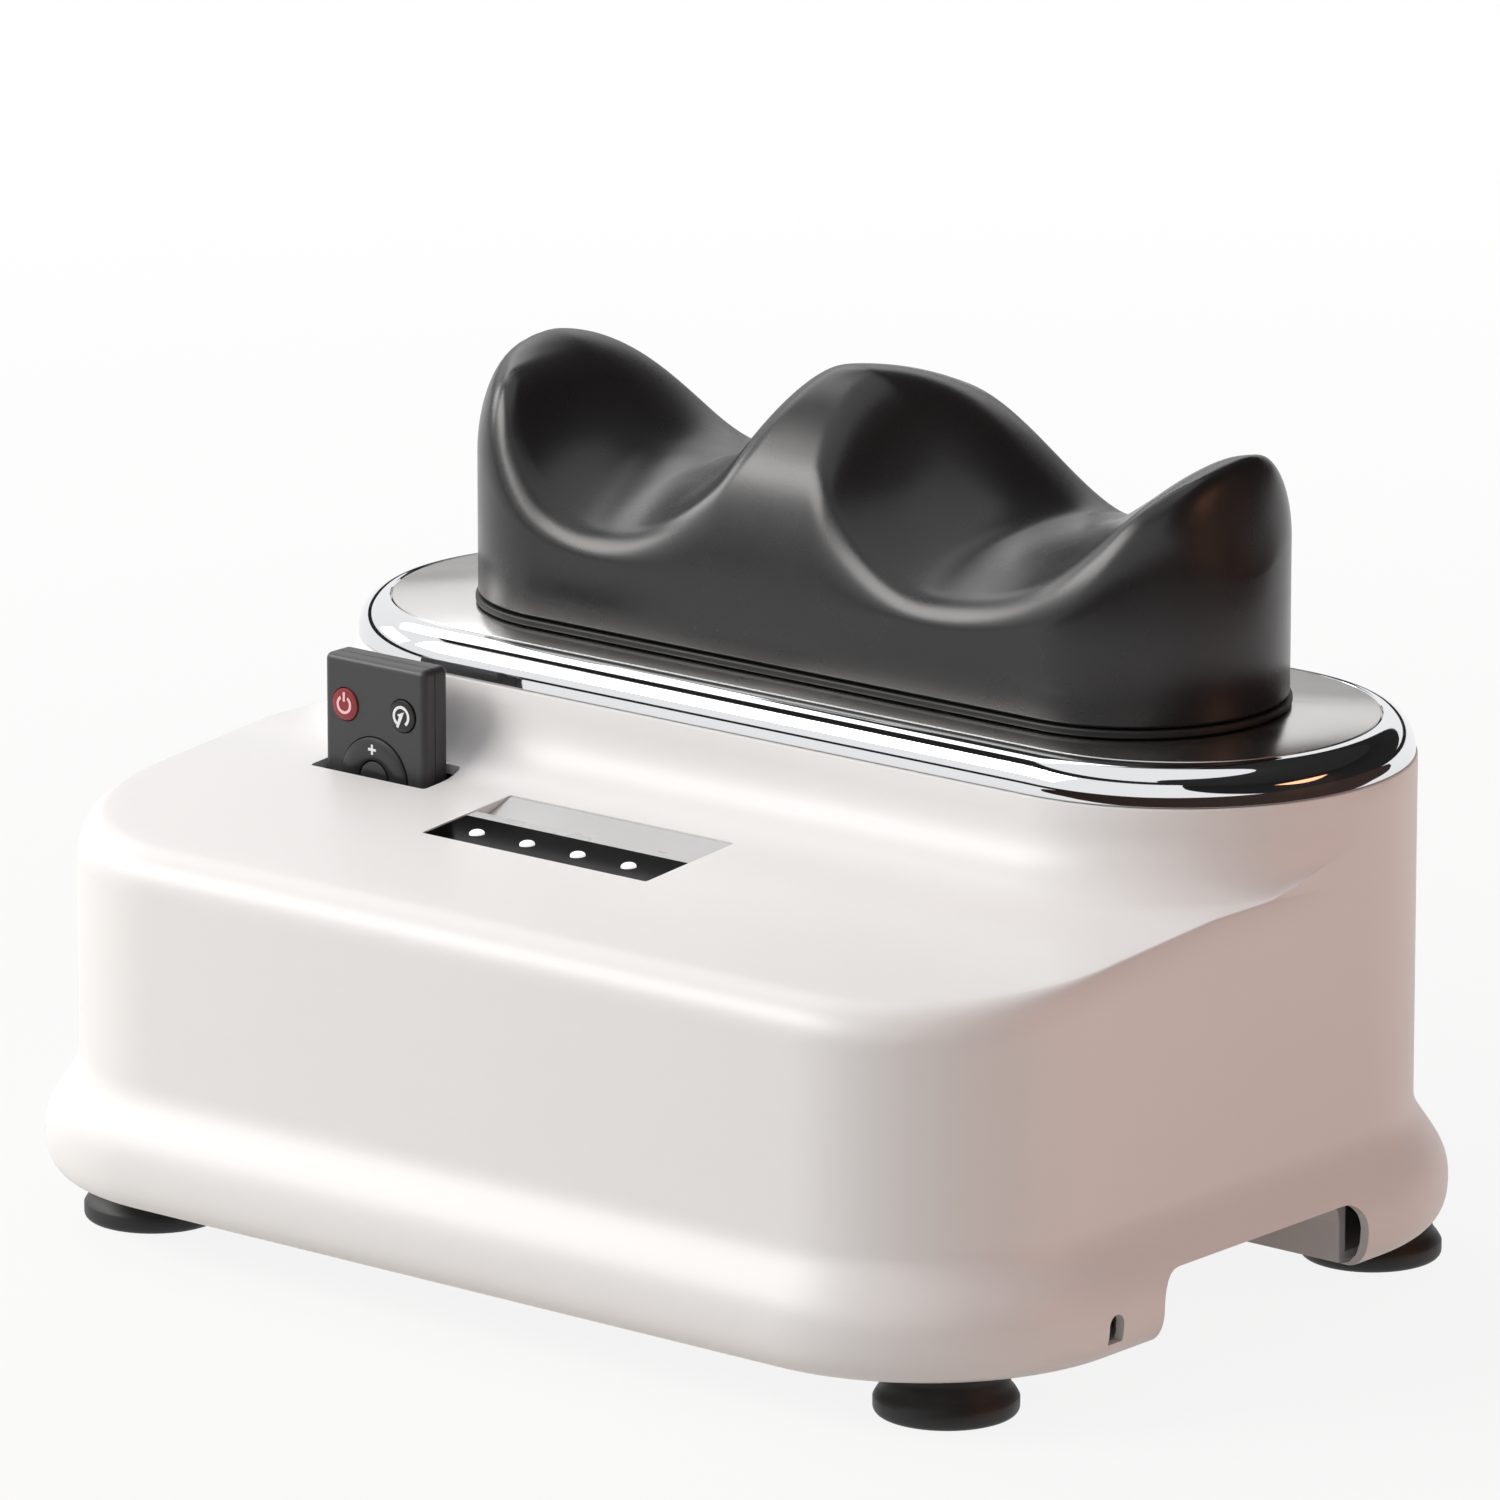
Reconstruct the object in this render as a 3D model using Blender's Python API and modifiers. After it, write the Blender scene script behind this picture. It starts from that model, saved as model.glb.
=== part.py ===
# Chi machine: a leg-swinging massager with a sliding ankle rest and a remote control kept in a slot.
# Metres, +Z up. The front faces -Y. The origin is on the floor under the middle of the housing.

import bpy
import bmesh
from math import pi, sin, cos, sqrt, atan, acos
from mathutils import Matrix, Vector

# Driving sizes of the housing
HOUSING_WIDTH = 0.382
HOUSING_DEPTH = 0.272
FRONT_CORNER_RADIUS = 0.062
TOWER_RADIUS = 0.074
TOWER_RISE = 0.026
WALL = 0.003
DECK_BACK_HEIGHT = 0.138
DECK_FALL = 0.010
DECK_EDGE_RADIUS = 0.012
DECK_FILLET = 0.020
BLEND_WIDTH = 0.040
SKIRT_BOTTOM = 0.017
SKIRT_FOOT = 0.003
SKIRT_BULGE = 0.011
SKIRT_BELLY_HEIGHT = 0.013
SKIRT_SHOULDER_HEIGHT = 0.026
LIP_WIDTH = 0.016
LIP_THICKNESS = 0.004

# Hand tunnel under the belly and the cable outlet
TUNNEL_FRONT_SHARE = 0.371
TUNNEL_REAR_SHARE = 0.368
TUNNEL_HEIGHT = 0.022
TUNNEL_CORNER = 0.0095
OUTLET_SHARE = 0.5404
OUTLET_WIDTH = 0.0068
OUTLET_HEIGHT = 0.0090
OUTLET_RISE = 0.0060

# Footrest and its stroke
FOOTREST_LENGTH = 0.297
FOOTREST_RADIUS = 0.048
STROKE = 0.016

# Remote control
REMOTE_SIDE_SHARE = 0.6403
REMOTE_DECK_SHARE = 0.8552
REMOTE_WIDTH = 0.0415
REMOTE_THICKNESS = 0.0115
REMOTE_HEIGHT = 0.086
REMOTE_DEPTH = 0.0525

# Feet
FOOT_SIDE_INSET = 0.0325
FOOT_FRONT_INSET = 0.036
FOOT_REAR_INSET = 0.027

# Clearances
GAP = 0.0003
RUN_GAP = 0.0006
OVERRUN = 0.004
WELD = 0.00002
ROUND_SHARE = 0.5

# Worked out from the sizes above
HALF_WIDTH = HOUSING_WIDTH / 2
HALF_DEPTH = HOUSING_DEPTH / 2
TOWER_Y = HALF_DEPTH - TOWER_RADIUS
TOWER_FRONT = TOWER_Y - TOWER_RADIUS
TOWER_TOP = DECK_BACK_HEIGHT + TOWER_RISE
DECK_FRONT_HEIGHT = DECK_BACK_HEIGHT - DECK_FALL
DECK_DEPTH = TOWER_FRONT + HALF_DEPTH
DECK_SLOPE = DECK_FALL / DECK_DEPTH
SKIRT_BELLY = SKIRT_BOTTOM + SKIRT_BELLY_HEIGHT
TUNNEL_FRONT = -HALF_DEPTH * TUNNEL_FRONT_SHARE
TUNNEL_REAR = HALF_DEPTH * TUNNEL_REAR_SHARE
TUNNEL_TOP = SKIRT_BOTTOM + TUNNEL_HEIGHT
OUTLET_Y = -HALF_DEPTH * OUTLET_SHARE
REMOTE_X = -HALF_WIDTH * REMOTE_SIDE_SHARE
REMOTE_FRONT = DECK_DEPTH * REMOTE_DECK_SHARE - HALF_DEPTH - REMOTE_THICKNESS / 2
REMOTE_BOTTOM = DECK_BACK_HEIGHT - REMOTE_DEPTH
FOOT_X = HALF_WIDTH - FOOT_SIDE_INSET
FOOT_FRONT_Y = FOOT_FRONT_INSET - HALF_DEPTH
FOOT_REAR_Y = HALF_DEPTH - FOOT_REAR_INSET

# Counts of segments
ARC_STEPS = 8
REAR_STEPS = 2
SIDE_STEPS = 6
CORNER_STEPS = 7
FRONT_STEPS = 4
EDGE_STEPS = 4
DECK_STEPS = 3
FILLET_STEPS = 5
SKIRT_STEPS = 4
ARCH_STEPS = 8
BELT_BIG_STEPS = 32
BELT_SMALL_STEPS = 12

# Materials as colour, roughness, metallic
FINISHES = {
    "white_gloss": ((0.86, 0.86, 0.85), 0.18, 0.0),
    "charcoal_foam": ((0.065, 0.063, 0.064), 0.45, 0.0),
    "chrome": ((0.80, 0.80, 0.81), 0.06, 1.0),
    "silver_plate": ((0.66, 0.66, 0.66), 0.20, 0.8),
    "black_plastic": ((0.03, 0.03, 0.032), 0.35, 0.0),
    "smoked_glass": ((0.008, 0.008, 0.009), 0.05, 0.0),
    "lamp_white": ((0.90, 0.92, 0.95), 0.25, 0.0),
    "light_grey": ((0.60, 0.60, 0.60), 0.30, 0.0),
    "rubber": ((0.012, 0.012, 0.012), 0.60, 0.0),
    "steel": ((0.50, 0.51, 0.52), 0.30, 1.0),
    "bronze": ((0.48, 0.33, 0.16), 0.40, 1.0),
    "grey_plastic": ((0.20, 0.20, 0.21), 0.50, 0.0),
    "board_green": ((0.03, 0.16, 0.07), 0.45, 0.0),
    "key_red": ((0.70, 0.06, 0.07), 0.30, 0.0),
    "key_black": ((0.02, 0.02, 0.022), 0.30, 0.0),
}


def clear_scene():
    for item in list(bpy.data.objects):
        bpy.data.objects.remove(item, do_unlink=True)


def new_collection(name):
    made = bpy.data.collections.new(name)
    bpy.context.scene.collection.children.link(made)
    return made


clear_scene()
PARTS = new_collection("chi_machine")
CUTTERS = new_collection("cutters")


def finish_material(name):
    if name in bpy.data.materials:
        return bpy.data.materials[name]
    colour, roughness, metallic = FINISHES[name]
    made = bpy.data.materials.new(name)
    made.use_nodes = True
    shader = made.node_tree.nodes["Principled BSDF"]
    shader.inputs["Base Color"].default_value = (*colour, 1.0)
    shader.inputs["Roughness"].default_value = roughness
    shader.inputs["Metallic"].default_value = metallic
    return made


def add_object(name, mesh, finish):
    # A finish makes it a part of the machine, and none makes it a cutter
    made = bpy.data.objects.new(name, mesh)
    if finish is None:
        CUTTERS.objects.link(made)
        made.hide_render = True
        made.display_type = "WIRE"
    else:
        PARTS.objects.link(made)
        mesh.materials.append(finish_material(finish))
    return made


def mesh_from(name, work):
    mesh = bpy.data.meshes.new(name)
    work.to_mesh(mesh)
    work.free()
    return mesh


def smooth(item, angle=pi / 5):
    item.data.shade_smooth()
    item.data.set_sharp_from_angle(angle=angle)
    return item


def boolean(item, cutter, operation="DIFFERENCE"):
    step = item.modifiers.new(cutter.name, "BOOLEAN")
    step.operation = operation
    step.solver = "EXACT"
    step.object = cutter
    return item


def placed(item, where):
    item.matrix_world = where
    return item


def box(name, low, high, finish, bevel=0.0, steps=1):
    size = [b - a for a, b in zip(low, high)]
    middle = [(a + b) / 2 for a, b in zip(low, high)]
    work = bmesh.new()
    bmesh.ops.create_cube(work, size=1.0)
    bmesh.ops.scale(work, vec=size, verts=work.verts)
    if bevel > 0:
        bmesh.ops.bevel(work, geom=work.edges[:], offset=bevel, segments=steps, affect="EDGES", profile=ROUND_SHARE)
    bmesh.ops.translate(work, vec=middle, verts=work.verts)
    return add_object(name, mesh_from(name, work), finish)


def cylinder(name, radius, base, length, finish, segments=24, axis="Z"):
    work = bmesh.new()
    bmesh.ops.create_cone(work, cap_ends=True, segments=segments, radius1=radius, radius2=radius, depth=length)
    bmesh.ops.translate(work, vec=(0, 0, length / 2), verts=work.verts)
    if axis == "X":
        bmesh.ops.rotate(work, matrix=Matrix.Rotation(pi / 2, 3, "Y"), verts=work.verts)
    if axis == "Y":
        bmesh.ops.rotate(work, matrix=Matrix.Rotation(-pi / 2, 3, "X"), verts=work.verts)
    bmesh.ops.translate(work, vec=base, verts=work.verts)
    return smooth(add_object(name, mesh_from(name, work), finish))


def turned(name, profile, where, finish, segments=24, axis="Z"):
    # The profile is (radius, height) pairs that run down the outer side
    mesh = bpy.data.meshes.new(name)
    points = [(radius, 0, height) for radius, height in profile]
    closed = profile[0][0] > 0
    count = len(points)
    edges = [(k, (k + 1) % count) for k in range(count if closed else count - 1)]
    mesh.from_pydata(points, edges, [])
    item = add_object(name, mesh, finish)
    screw = item.modifiers.new("turn", "SCREW")
    screw.axis = "Z"
    screw.angle = 2 * pi
    screw.steps = segments
    screw.render_steps = segments
    screw.use_merge_vertices = True
    screw.merge_threshold = WELD
    screw.use_smooth_shade = True
    turn = Matrix.Identity(4)
    if axis == "X":
        turn = Matrix.Rotation(pi / 2, 4, "Y")
    if axis == "Y":
        turn = Matrix.Rotation(-pi / 2, 4, "X")
    return placed(item, Matrix.Translation(where) @ turn)


def ring_profile(inner, outer, low, high):
    return [(inner, high), (outer, high), (outer, low), (inner, low)]


def circle_loop(centre, radius, count=24):
    return [(centre[0] + radius * cos(2 * pi * k / count), centre[1] + radius * sin(2 * pi * k / count))
            for k in range(count)]


def rounded_loop(low, high, radius, steps=4):
    corners = [(high[0], high[1], 0), (low[0], high[1], 1), (low[0], low[1], 2), (high[0], low[1], 3)]
    points = []
    for x, y, quarter in corners:
        cx = x - radius if quarter in (0, 3) else x + radius
        cy = y - radius if quarter in (0, 1) else y + radius
        for k in range(steps + 1):
            angle = (quarter + k / steps) * pi / 2
            points.append((cx + radius * cos(angle), cy + radius * sin(angle)))
    return points


def stadium_loop(centre, half_length, radius, steps=8):
    points = []
    for side in (1, -1):
        cx = centre[0] + side * (half_length - radius)
        start = -pi / 2 if side > 0 else pi / 2
        for k in range(steps + 1):
            angle = start + pi * k / steps
            points.append((cx + radius * cos(angle), centre[1] + radius * sin(angle)))
    return points


def plate(name, loops, low, high, finish, where=None):
    # A flat plate from closed outlines in XY, the first one outside and the rest holes, as a welded mesh
    curve = bpy.data.curves.new(name, "CURVE")
    curve.dimensions = "2D"
    curve.fill_mode = "BOTH"
    curve.extrude = (high - low) / 2
    for loop in loops:
        spline = curve.splines.new("POLY")
        spline.points.add(len(loop) - 1)
        for point, (x, y) in zip(spline.points, loop):
            point.co = (x, y, 0, 1)
        spline.use_cyclic_u = True
    source = bpy.data.objects.new(name, curve)
    CUTTERS.objects.link(source)
    graph = bpy.context.evaluated_depsgraph_get()
    mesh = bpy.data.meshes.new_from_object(source.evaluated_get(graph))
    bpy.data.objects.remove(source, do_unlink=True)
    work = bmesh.new()
    work.from_mesh(mesh)
    bmesh.ops.remove_doubles(work, verts=work.verts, dist=WELD)
    bmesh.ops.translate(work, vec=(0, 0, (low + high) / 2), verts=work.verts)
    mesh.clear_geometry()
    work.to_mesh(mesh)
    work.free()
    item = add_object(name, mesh, finish)
    if where is not None:
        placed(item, where)
    return item


def loft(name, rings, finish, closed=False):
    # Skin through rings of equal counts, capped at both ends, or joined last to first when closed
    work = bmesh.new()
    rows = [[work.verts.new(point) for point in ring] for ring in rings]
    count = len(rows[0])
    pairs = list(zip(rows[:-1], rows[1:]))
    if closed:
        pairs.append((rows[-1], rows[0]))
    for lower, upper in pairs:
        for k in range(count):
            n = (k + 1) % count
            work.faces.new((lower[k], lower[n], upper[n], upper[k]))
    if not closed:
        work.faces.new(list(reversed(rows[0])))
        work.faces.new(rows[-1])
    bmesh.ops.recalc_face_normals(work, faces=work.faces)
    bmesh.ops.triangulate(work, faces=[face for face in work.faces if len(face.verts) > 4])
    return smooth(add_object(name, mesh_from(name, work), finish))


def arc_points(centre, radius, start, end, steps):
    return [Vector((centre[0] + radius * cos(start + (end - start) * k / steps),
                    centre[1] + radius * sin(start + (end - start) * k / steps))) for k in range(steps)]


def line_points(start, end, steps):
    a = Vector(start)
    b = Vector(end)
    return [a.lerp(b, k / steps) for k in range(steps)]


def rear_points(inset):
    radius = TOWER_RADIUS - inset
    cx = HALF_WIDTH - TOWER_RADIUS
    rear = HALF_DEPTH - inset
    points = arc_points((cx, TOWER_Y), radius, 0, pi / 2, ARC_STEPS)
    points += line_points((cx, rear), (-cx, rear), REAR_STEPS)
    points += arc_points((-cx, TOWER_Y), radius, pi / 2, pi, ARC_STEPS)
    return points


def body_outline(inset):
    # Plan of the walls: rear arcs as the tower's, straight sides, rounder front corners
    side = HALF_WIDTH - inset
    front = -HALF_DEPTH + inset
    cx = HALF_WIDTH - FRONT_CORNER_RADIUS
    cy = -HALF_DEPTH + FRONT_CORNER_RADIUS
    radius = FRONT_CORNER_RADIUS - inset
    points = rear_points(inset)
    points += line_points((-side, TOWER_Y), (-side, cy), SIDE_STEPS)
    points += arc_points((-cx, cy), radius, pi, 1.5 * pi, CORNER_STEPS)
    points += line_points((-cx, front), (cx, front), FRONT_STEPS)
    points += arc_points((cx, cy), radius, 1.5 * pi, 2 * pi, CORNER_STEPS)
    points += line_points((side, cy), (side, TOWER_Y), SIDE_STEPS)
    return points


def tower_outline(inset):
    # Plan of the tower: a stadium with the same stations as the walls
    radius = TOWER_RADIUS - inset
    cx = HALF_WIDTH - TOWER_RADIUS
    front = TOWER_FRONT + inset
    bend = SIDE_STEPS + CORNER_STEPS
    points = rear_points(inset)
    points += arc_points((-cx, TOWER_Y), radius, pi, 1.5 * pi, bend)
    points += line_points((-cx, front), (cx, front), FRONT_STEPS)
    points += arc_points((cx, TOWER_Y), radius, 1.5 * pi, 2 * pi, bend)
    return points


def deck_height(y):
    return DECK_FRONT_HEIGHT + DECK_SLOPE * (min(y, TOWER_FRONT) + HALF_DEPTH)


def deck_path(start, end, inset):
    # From the wall over the rounded edge, along the deck and up the fillet, as points of equal count
    span = (end - start).length
    ahead = (end - start) / span if span > 0 else Vector((0, 0))
    edge = DECK_EDGE_RADIUS - inset
    fillet = DECK_FILLET + inset
    squeeze = min(1.0, span / (edge + fillet))
    steps = []
    for k in range(EDGE_STEPS + 1):
        angle = pi / 2 * k / EDGE_STEPS
        steps.append((edge * squeeze * (1 - cos(angle)), -edge * (1 - sin(angle))))
    flat = span - (edge + fillet) * squeeze
    for k in range(1, DECK_STEPS):
        steps.append((edge * squeeze + flat * k / DECK_STEPS, 0))
    for k in range(FILLET_STEPS + 1):
        angle = pi / 2 * k / FILLET_STEPS
        steps.append((span - fillet * squeeze * (1 - sin(angle)), fillet * (1 - cos(angle))))
    share = min(1.0, span / BLEND_WIDTH)
    weight = share * share * (3 - 2 * share)
    low = deck_height(start.y) - inset - edge
    high = deck_height(end.y) - inset + fillet
    points = []
    for k, (along, rise) in enumerate(steps):
        place = start + ahead * along
        shaped = deck_height(place.y) - inset + rise
        even = low + (high - low) * k / (len(steps) - 1)
        points.append(Vector((place.x, place.y, even + (shaped - even) * weight)))
    return points


def skirt_offset(height):
    # How far the skirt stands out from the wall at a height
    if height < SKIRT_BELLY:
        share = (SKIRT_BELLY - height) / SKIRT_BELLY_HEIGHT
        return SKIRT_FOOT + (SKIRT_BULGE - SKIRT_FOOT) * sqrt(max(0.0, 1 - share ** 2.6))
    share = min(1.0, (height - SKIRT_BELLY) / SKIRT_SHOULDER_HEIGHT)
    return SKIRT_BULGE * (0.5 + 0.5 * cos(pi * share ** 1.15))


def flat_ring(outline, height):
    return [Vector((point.x, point.y, height)) for point in outline]


def skirt_heights(steps):
    low = [SKIRT_BOTTOM + SKIRT_BELLY_HEIGHT * (1 - cos(pi / 2 * k / steps)) for k in range(steps)]
    high = [SKIRT_BELLY + SKIRT_SHOULDER_HEIGHT * k / (steps + 1) for k in range(steps + 2)]
    return low + high


def housing_rings(inset, steps, top):
    rings = [flat_ring(body_outline(inset - skirt_offset(height)), height) for height in skirt_heights(steps)]
    paths = [deck_path(start, end, inset) for start, end in zip(body_outline(inset), tower_outline(inset))]
    rings += [[path[k] for path in paths] for k in range(len(paths[0]))]
    rings.append(flat_ring(tower_outline(inset), top))
    return rings


def tower_slab(name, inset, low, high, finish):
    outline = tower_outline(inset)
    return loft(name, [flat_ring(outline, low), flat_ring(outline, high)], finish)


def deck_frame(x, y):
    # Axes that lie in the deck's surface at a point
    return Matrix.Translation((x, y, deck_height(y))) @ Matrix.Rotation(atan(DECK_SLOPE), 4, "X")


# Display window in the deck
DISPLAY = {
    "side_share": 0.1335,
    "width_share": 0.2356,
    "deck_share": 0.677,
    "length": 0.042,
    "lens_length": 0.0205,
    "ledge_length": 0.0041,
    "lamp_row": 0.0088,
    "lens_thickness": 0.0015,
    "sink": 0.0003,
    "depth": 0.0065,
    "scoop_depth": 0.0030,
    "flange": 0.004,
    "flange_thickness": 0.0015,
    "pitch_share": 0.2256,
    "lamp_radius": 0.0024,
    "lamp_rise": 0.0011,
    "board_thickness": 0.0016,
    "corner": 0.001,
}
LAMP_COUNT = 4
DISPLAY_WIDTH = HOUSING_WIDTH * DISPLAY["width_share"]

# Slot and holster of the remote
HOLSTER = {
    "spare_left": 0.0019,
    "spare_right": 0.0040,
    "spare_front": 0.0050,
    "spare_rear": 0.0013,
    "wall": 0.002,
    "flange": 0.004,
    "corner": 0.0015,
}


# Trim ring and top plate
RING = {
    "width": 0.011,
    "height": 0.0115,
    "joint_inset": 0.0006,
    "shelf": 0.005,
    "shelf_height": 0.008,
    "crown_share": 0.62,
    "shoulder_share": 0.36,
}
PLATE = {
    "thickness": 0.0035,
}

# Base pan
PAN = {
    "thickness": 0.003,
    "pocket_depth": 0.045,
    "pocket_wall": 0.003,
    "standoff_radius": 0.003,
}

# Suction feet and their screws
FOOT = {
    "radius": 0.022,
    "rim_width": 0.004,
    "rim_rounding": 0.0022,
    "rim_height": 0.0050,
    "bell_radius": 0.0196,
    "bell_height": 0.0085,
    "neck_radius": 0.0178,
    "neck_height": 0.0125,
    "hollow_height": 0.0030,
    "hole_bottom": 0.0060,
    "screw_radius": 0.004,
    "head_radius": 0.0065,
    "head_height": 0.003,
}

# Crank drive under the middle of the footrest
DRIVE = {
    "motor_inset": 0.036,
    "motor_radius": 0.027,
    "motor_rise": 0.006,
    "motor_drop": 0.007,
    "motor_shaft_radius": 0.003,
    "motor_shaft_sunk": 0.020,
    "bracket_half_width": 0.032,
    "bracket_half_length": 0.030,
    "bracket_thickness": 0.003,
    "bracket_foot": 0.009,
    "bearing_radius": 0.011,
    "bearing_height": 0.007,
    "housing_drop": 0.003,
    "housing_radius": 0.018,
    "housing_bore": 0.008,
    "flange_radius": 0.038,
    "flange_height": 0.005,
    "shaft_radius": 0.006,
    "pulley_drop": 0.035,
    "pulley_height": 0.012,
    "pulley_radius": 0.040,
    "pulley_rim": 0.0025,
    "rim_height": 0.0015,
    "small_radius": 0.009,
    "belt_thickness": 0.0016,
    "belt_play": 0.0006,
    "pin_radius": 0.003,
    "pin_sunk": 0.006,
    "roller_radius": 0.007,
    "roller_height": 0.011,
}

# Carriage, rails and bridges
SLIDE = {
    "rail_radius": 0.005,
    "rail_spacing": 0.080,
    "rail_drop": 0.0245,
    "rail_end": 0.006,
    "bridge_inset": 0.063,
    "bridge_thickness": 0.003,
    "bridge_half_width": 0.050,
    "bridge_top_half_width": 0.046,
    "bridge_head": 0.0105,
    "bridge_foot": 0.012,
    "bush_radius": 0.008,
    "bush_length": 0.030,
    "bush_x": 0.045,
    "block_half_width": 0.012,
    "block_half_length": 0.0145,
    "block_rise": 0.012,
    "plate_drop": 0.038,
    "plate_thickness": 0.004,
    "plate_half_length": 0.080,
    "plate_margin": 0.014,
    "plate_corner": 0.010,
    "post_x": 0.070,
    "post_radius": 0.006,
    "spigot_radius": 0.004,
    "spigot_height": 0.0018,
    "yoke_play": 0.0005,
    "yoke_lift": 0.0009,
}

# Control board and transformer
BOARD = {
    "inset": 0.040,
    "half_length": 0.029,
    "half_width": 0.032,
    "standoff": 0.008,
    "thickness": 0.0016,
    "hole_inset": 0.005,
    "coil_half_length": 0.018,
    "coil_half_width": 0.020,
    "coil_height": 0.030,
    "coil_bevel": 0.002,
}

# Footrest base and cushion
REST = {
    "base_thickness": 0.0024,
    "base_proud": 0.0008,
    "middle_ridge": 0.004,
    "middle_height": 0.0877,
    "middle_front_drop": 0.040,
    "middle_rear_drop": 0.0158,
    "end_ridge": 0.007,
    "end_height": 0.0777,
    "end_front_drop": 0.013,
    "end_rear_drop": 0.0117,
    "end_inset": 0.0105,
    "end_drop": 0.0260,
    "scoop_inset": 0.0818,
    "scoop_front": 0.0254,
    "scoop_rear": 0.0401,
    "scoop_saddle": 0.0134,
    "edge_width": 0.0103,
    "edge_height": 0.024,
    "rim_height": 0.0095,
    "core_radius": 0.006,
}
REST_LEAN = 1.46
REST_MIDDLE_SWELL = 0.82
REST_END_SWELL = 1.55
REST_STRAIGHT_STEPS = 30
REST_ARC_STEPS = 16
REST_EDGE_STEPS = 4
REST_INNER_STEPS = 4

# Remote control's shells, keys, board and cell
REMOTE = {
    "bevel": 0.0022,
    "bevel_steps": 3,
    "wall": 0.0016,
    "split_depth": 0.0048,
    "key_rise": 0.0006,
    "key_flange": 0.0010,
    "flange_height": 0.0007,
    "key_travel": 0.0008,
    "key_radius": 0.0052,
    "key_spread": 0.0118,
    "key_drop": 0.0155,
    "ring_radius": 0.0135,
    "ring_drop": 0.0378,
    "centre_radius": 0.0058,
    "board_gap": 0.0006,
    "board_thickness": 0.0010,
    "door_half_width": 0.0120,
    "door_low": 0.0080,
    "door_high": 0.0330,
    "door_corner": 0.002,
    "cell_radius": 0.0100,
    "cell_height": 0.0018,
}

# Heights and places that several pieces share
PAN_TOP = SKIRT_BOTTOM + PAN["thickness"]
PAN_INSET = WALL + GAP - SKIRT_FOOT
BRIDGE_X = HALF_WIDTH - SLIDE["bridge_inset"]
MOTOR_X = BRIDGE_X - DRIVE["motor_inset"]
BOARD_X = BOARD["inset"] - BRIDGE_X
RAIL_HEIGHT = TOWER_TOP - SLIDE["rail_drop"]
YOKE_BOTTOM = TOWER_TOP - SLIDE["plate_drop"]
PULLEY_BOTTOM = YOKE_BOTTOM - DRIVE["pulley_drop"]
PULLEY_TOP = PULLEY_BOTTOM + DRIVE["pulley_height"]
MOTOR_TOP = PULLEY_BOTTOM - DRIVE["motor_drop"]
PLATE_BOTTOM = TOWER_TOP + GAP + RING["shelf_height"] + GAP
PLATE_TOP = PLATE_BOTTOM + PLATE["thickness"]
BASE_BOTTOM = PLATE_TOP + RUN_GAP
CUSHION_BOTTOM = BASE_BOTTOM + REST["base_thickness"] + GAP
SCOOP_X = FOOTREST_LENGTH / 2 - REST["scoop_inset"]
END_X = FOOTREST_LENGTH / 2 - REST["end_inset"]
FOOT_SPOTS = {
    "front_left": (-FOOT_X, FOOT_FRONT_Y),
    "front_right": (FOOT_X, FOOT_FRONT_Y),
    "rear_left": (-FOOT_X, FOOT_REAR_Y),
    "rear_right": (FOOT_X, FOOT_REAR_Y),
}
ALONG_X = Matrix(((0, 0, 1, 0), (1, 0, 0, 0), (0, 1, 0, 0), (0, 0, 0, 1)))
FACING_FRONT = Matrix(((1, 0, 0, 0), (0, 0, -1, 0), (0, 1, 0, 0), (0, 0, 0, 1)))


def across(name, loops, low, high, finish):
    # A YZ outline run along X
    return plate(name, loops, low, high, finish, ALONG_X)


def tunnel_loop():
    low = (TUNNEL_FRONT, SKIRT_BOTTOM - OVERRUN)
    high = (TUNNEL_REAR, TUNNEL_TOP)
    loop = rounded_loop(low, high, TUNNEL_CORNER)
    half = len(loop) // 2
    return loop[:half] + [low, (high[0], low[1])]


def outlet_loop():
    # An arch with a flat sill
    radius = OUTLET_WIDTH / 2
    sill = SKIRT_BOTTOM + OUTLET_RISE
    crown = sill + OUTLET_HEIGHT - radius
    points = [(OUTLET_Y + radius * cos(pi * k / ARCH_STEPS), crown + radius * sin(pi * k / ARCH_STEPS))
              for k in range(ARCH_STEPS + 1)]
    return points + [(OUTLET_Y - radius, sill), (OUTLET_Y + radius, sill)]


def display_frame():
    # Origin in the deck's surface at the middle of the recess
    return deck_frame(-HALF_WIDTH * DISPLAY["side_share"], DECK_DEPTH * DISPLAY["deck_share"] - HALF_DEPTH)


def slot_corners(grow):
    left = REMOTE_X - REMOTE_WIDTH / 2 - HOLSTER["spare_left"] - grow
    right = REMOTE_X + REMOTE_WIDTH / 2 + HOLSTER["spare_right"] + grow
    front = REMOTE_FRONT - HOLSTER["spare_front"] - grow
    rear = REMOTE_FRONT + REMOTE_THICKNESS + HOLSTER["spare_rear"] + grow
    return (left, front), (right, rear)


def slot_loop(grow):
    low, high = slot_corners(grow)
    return rounded_loop(low, high, HOLSTER["corner"] + grow)


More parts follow.
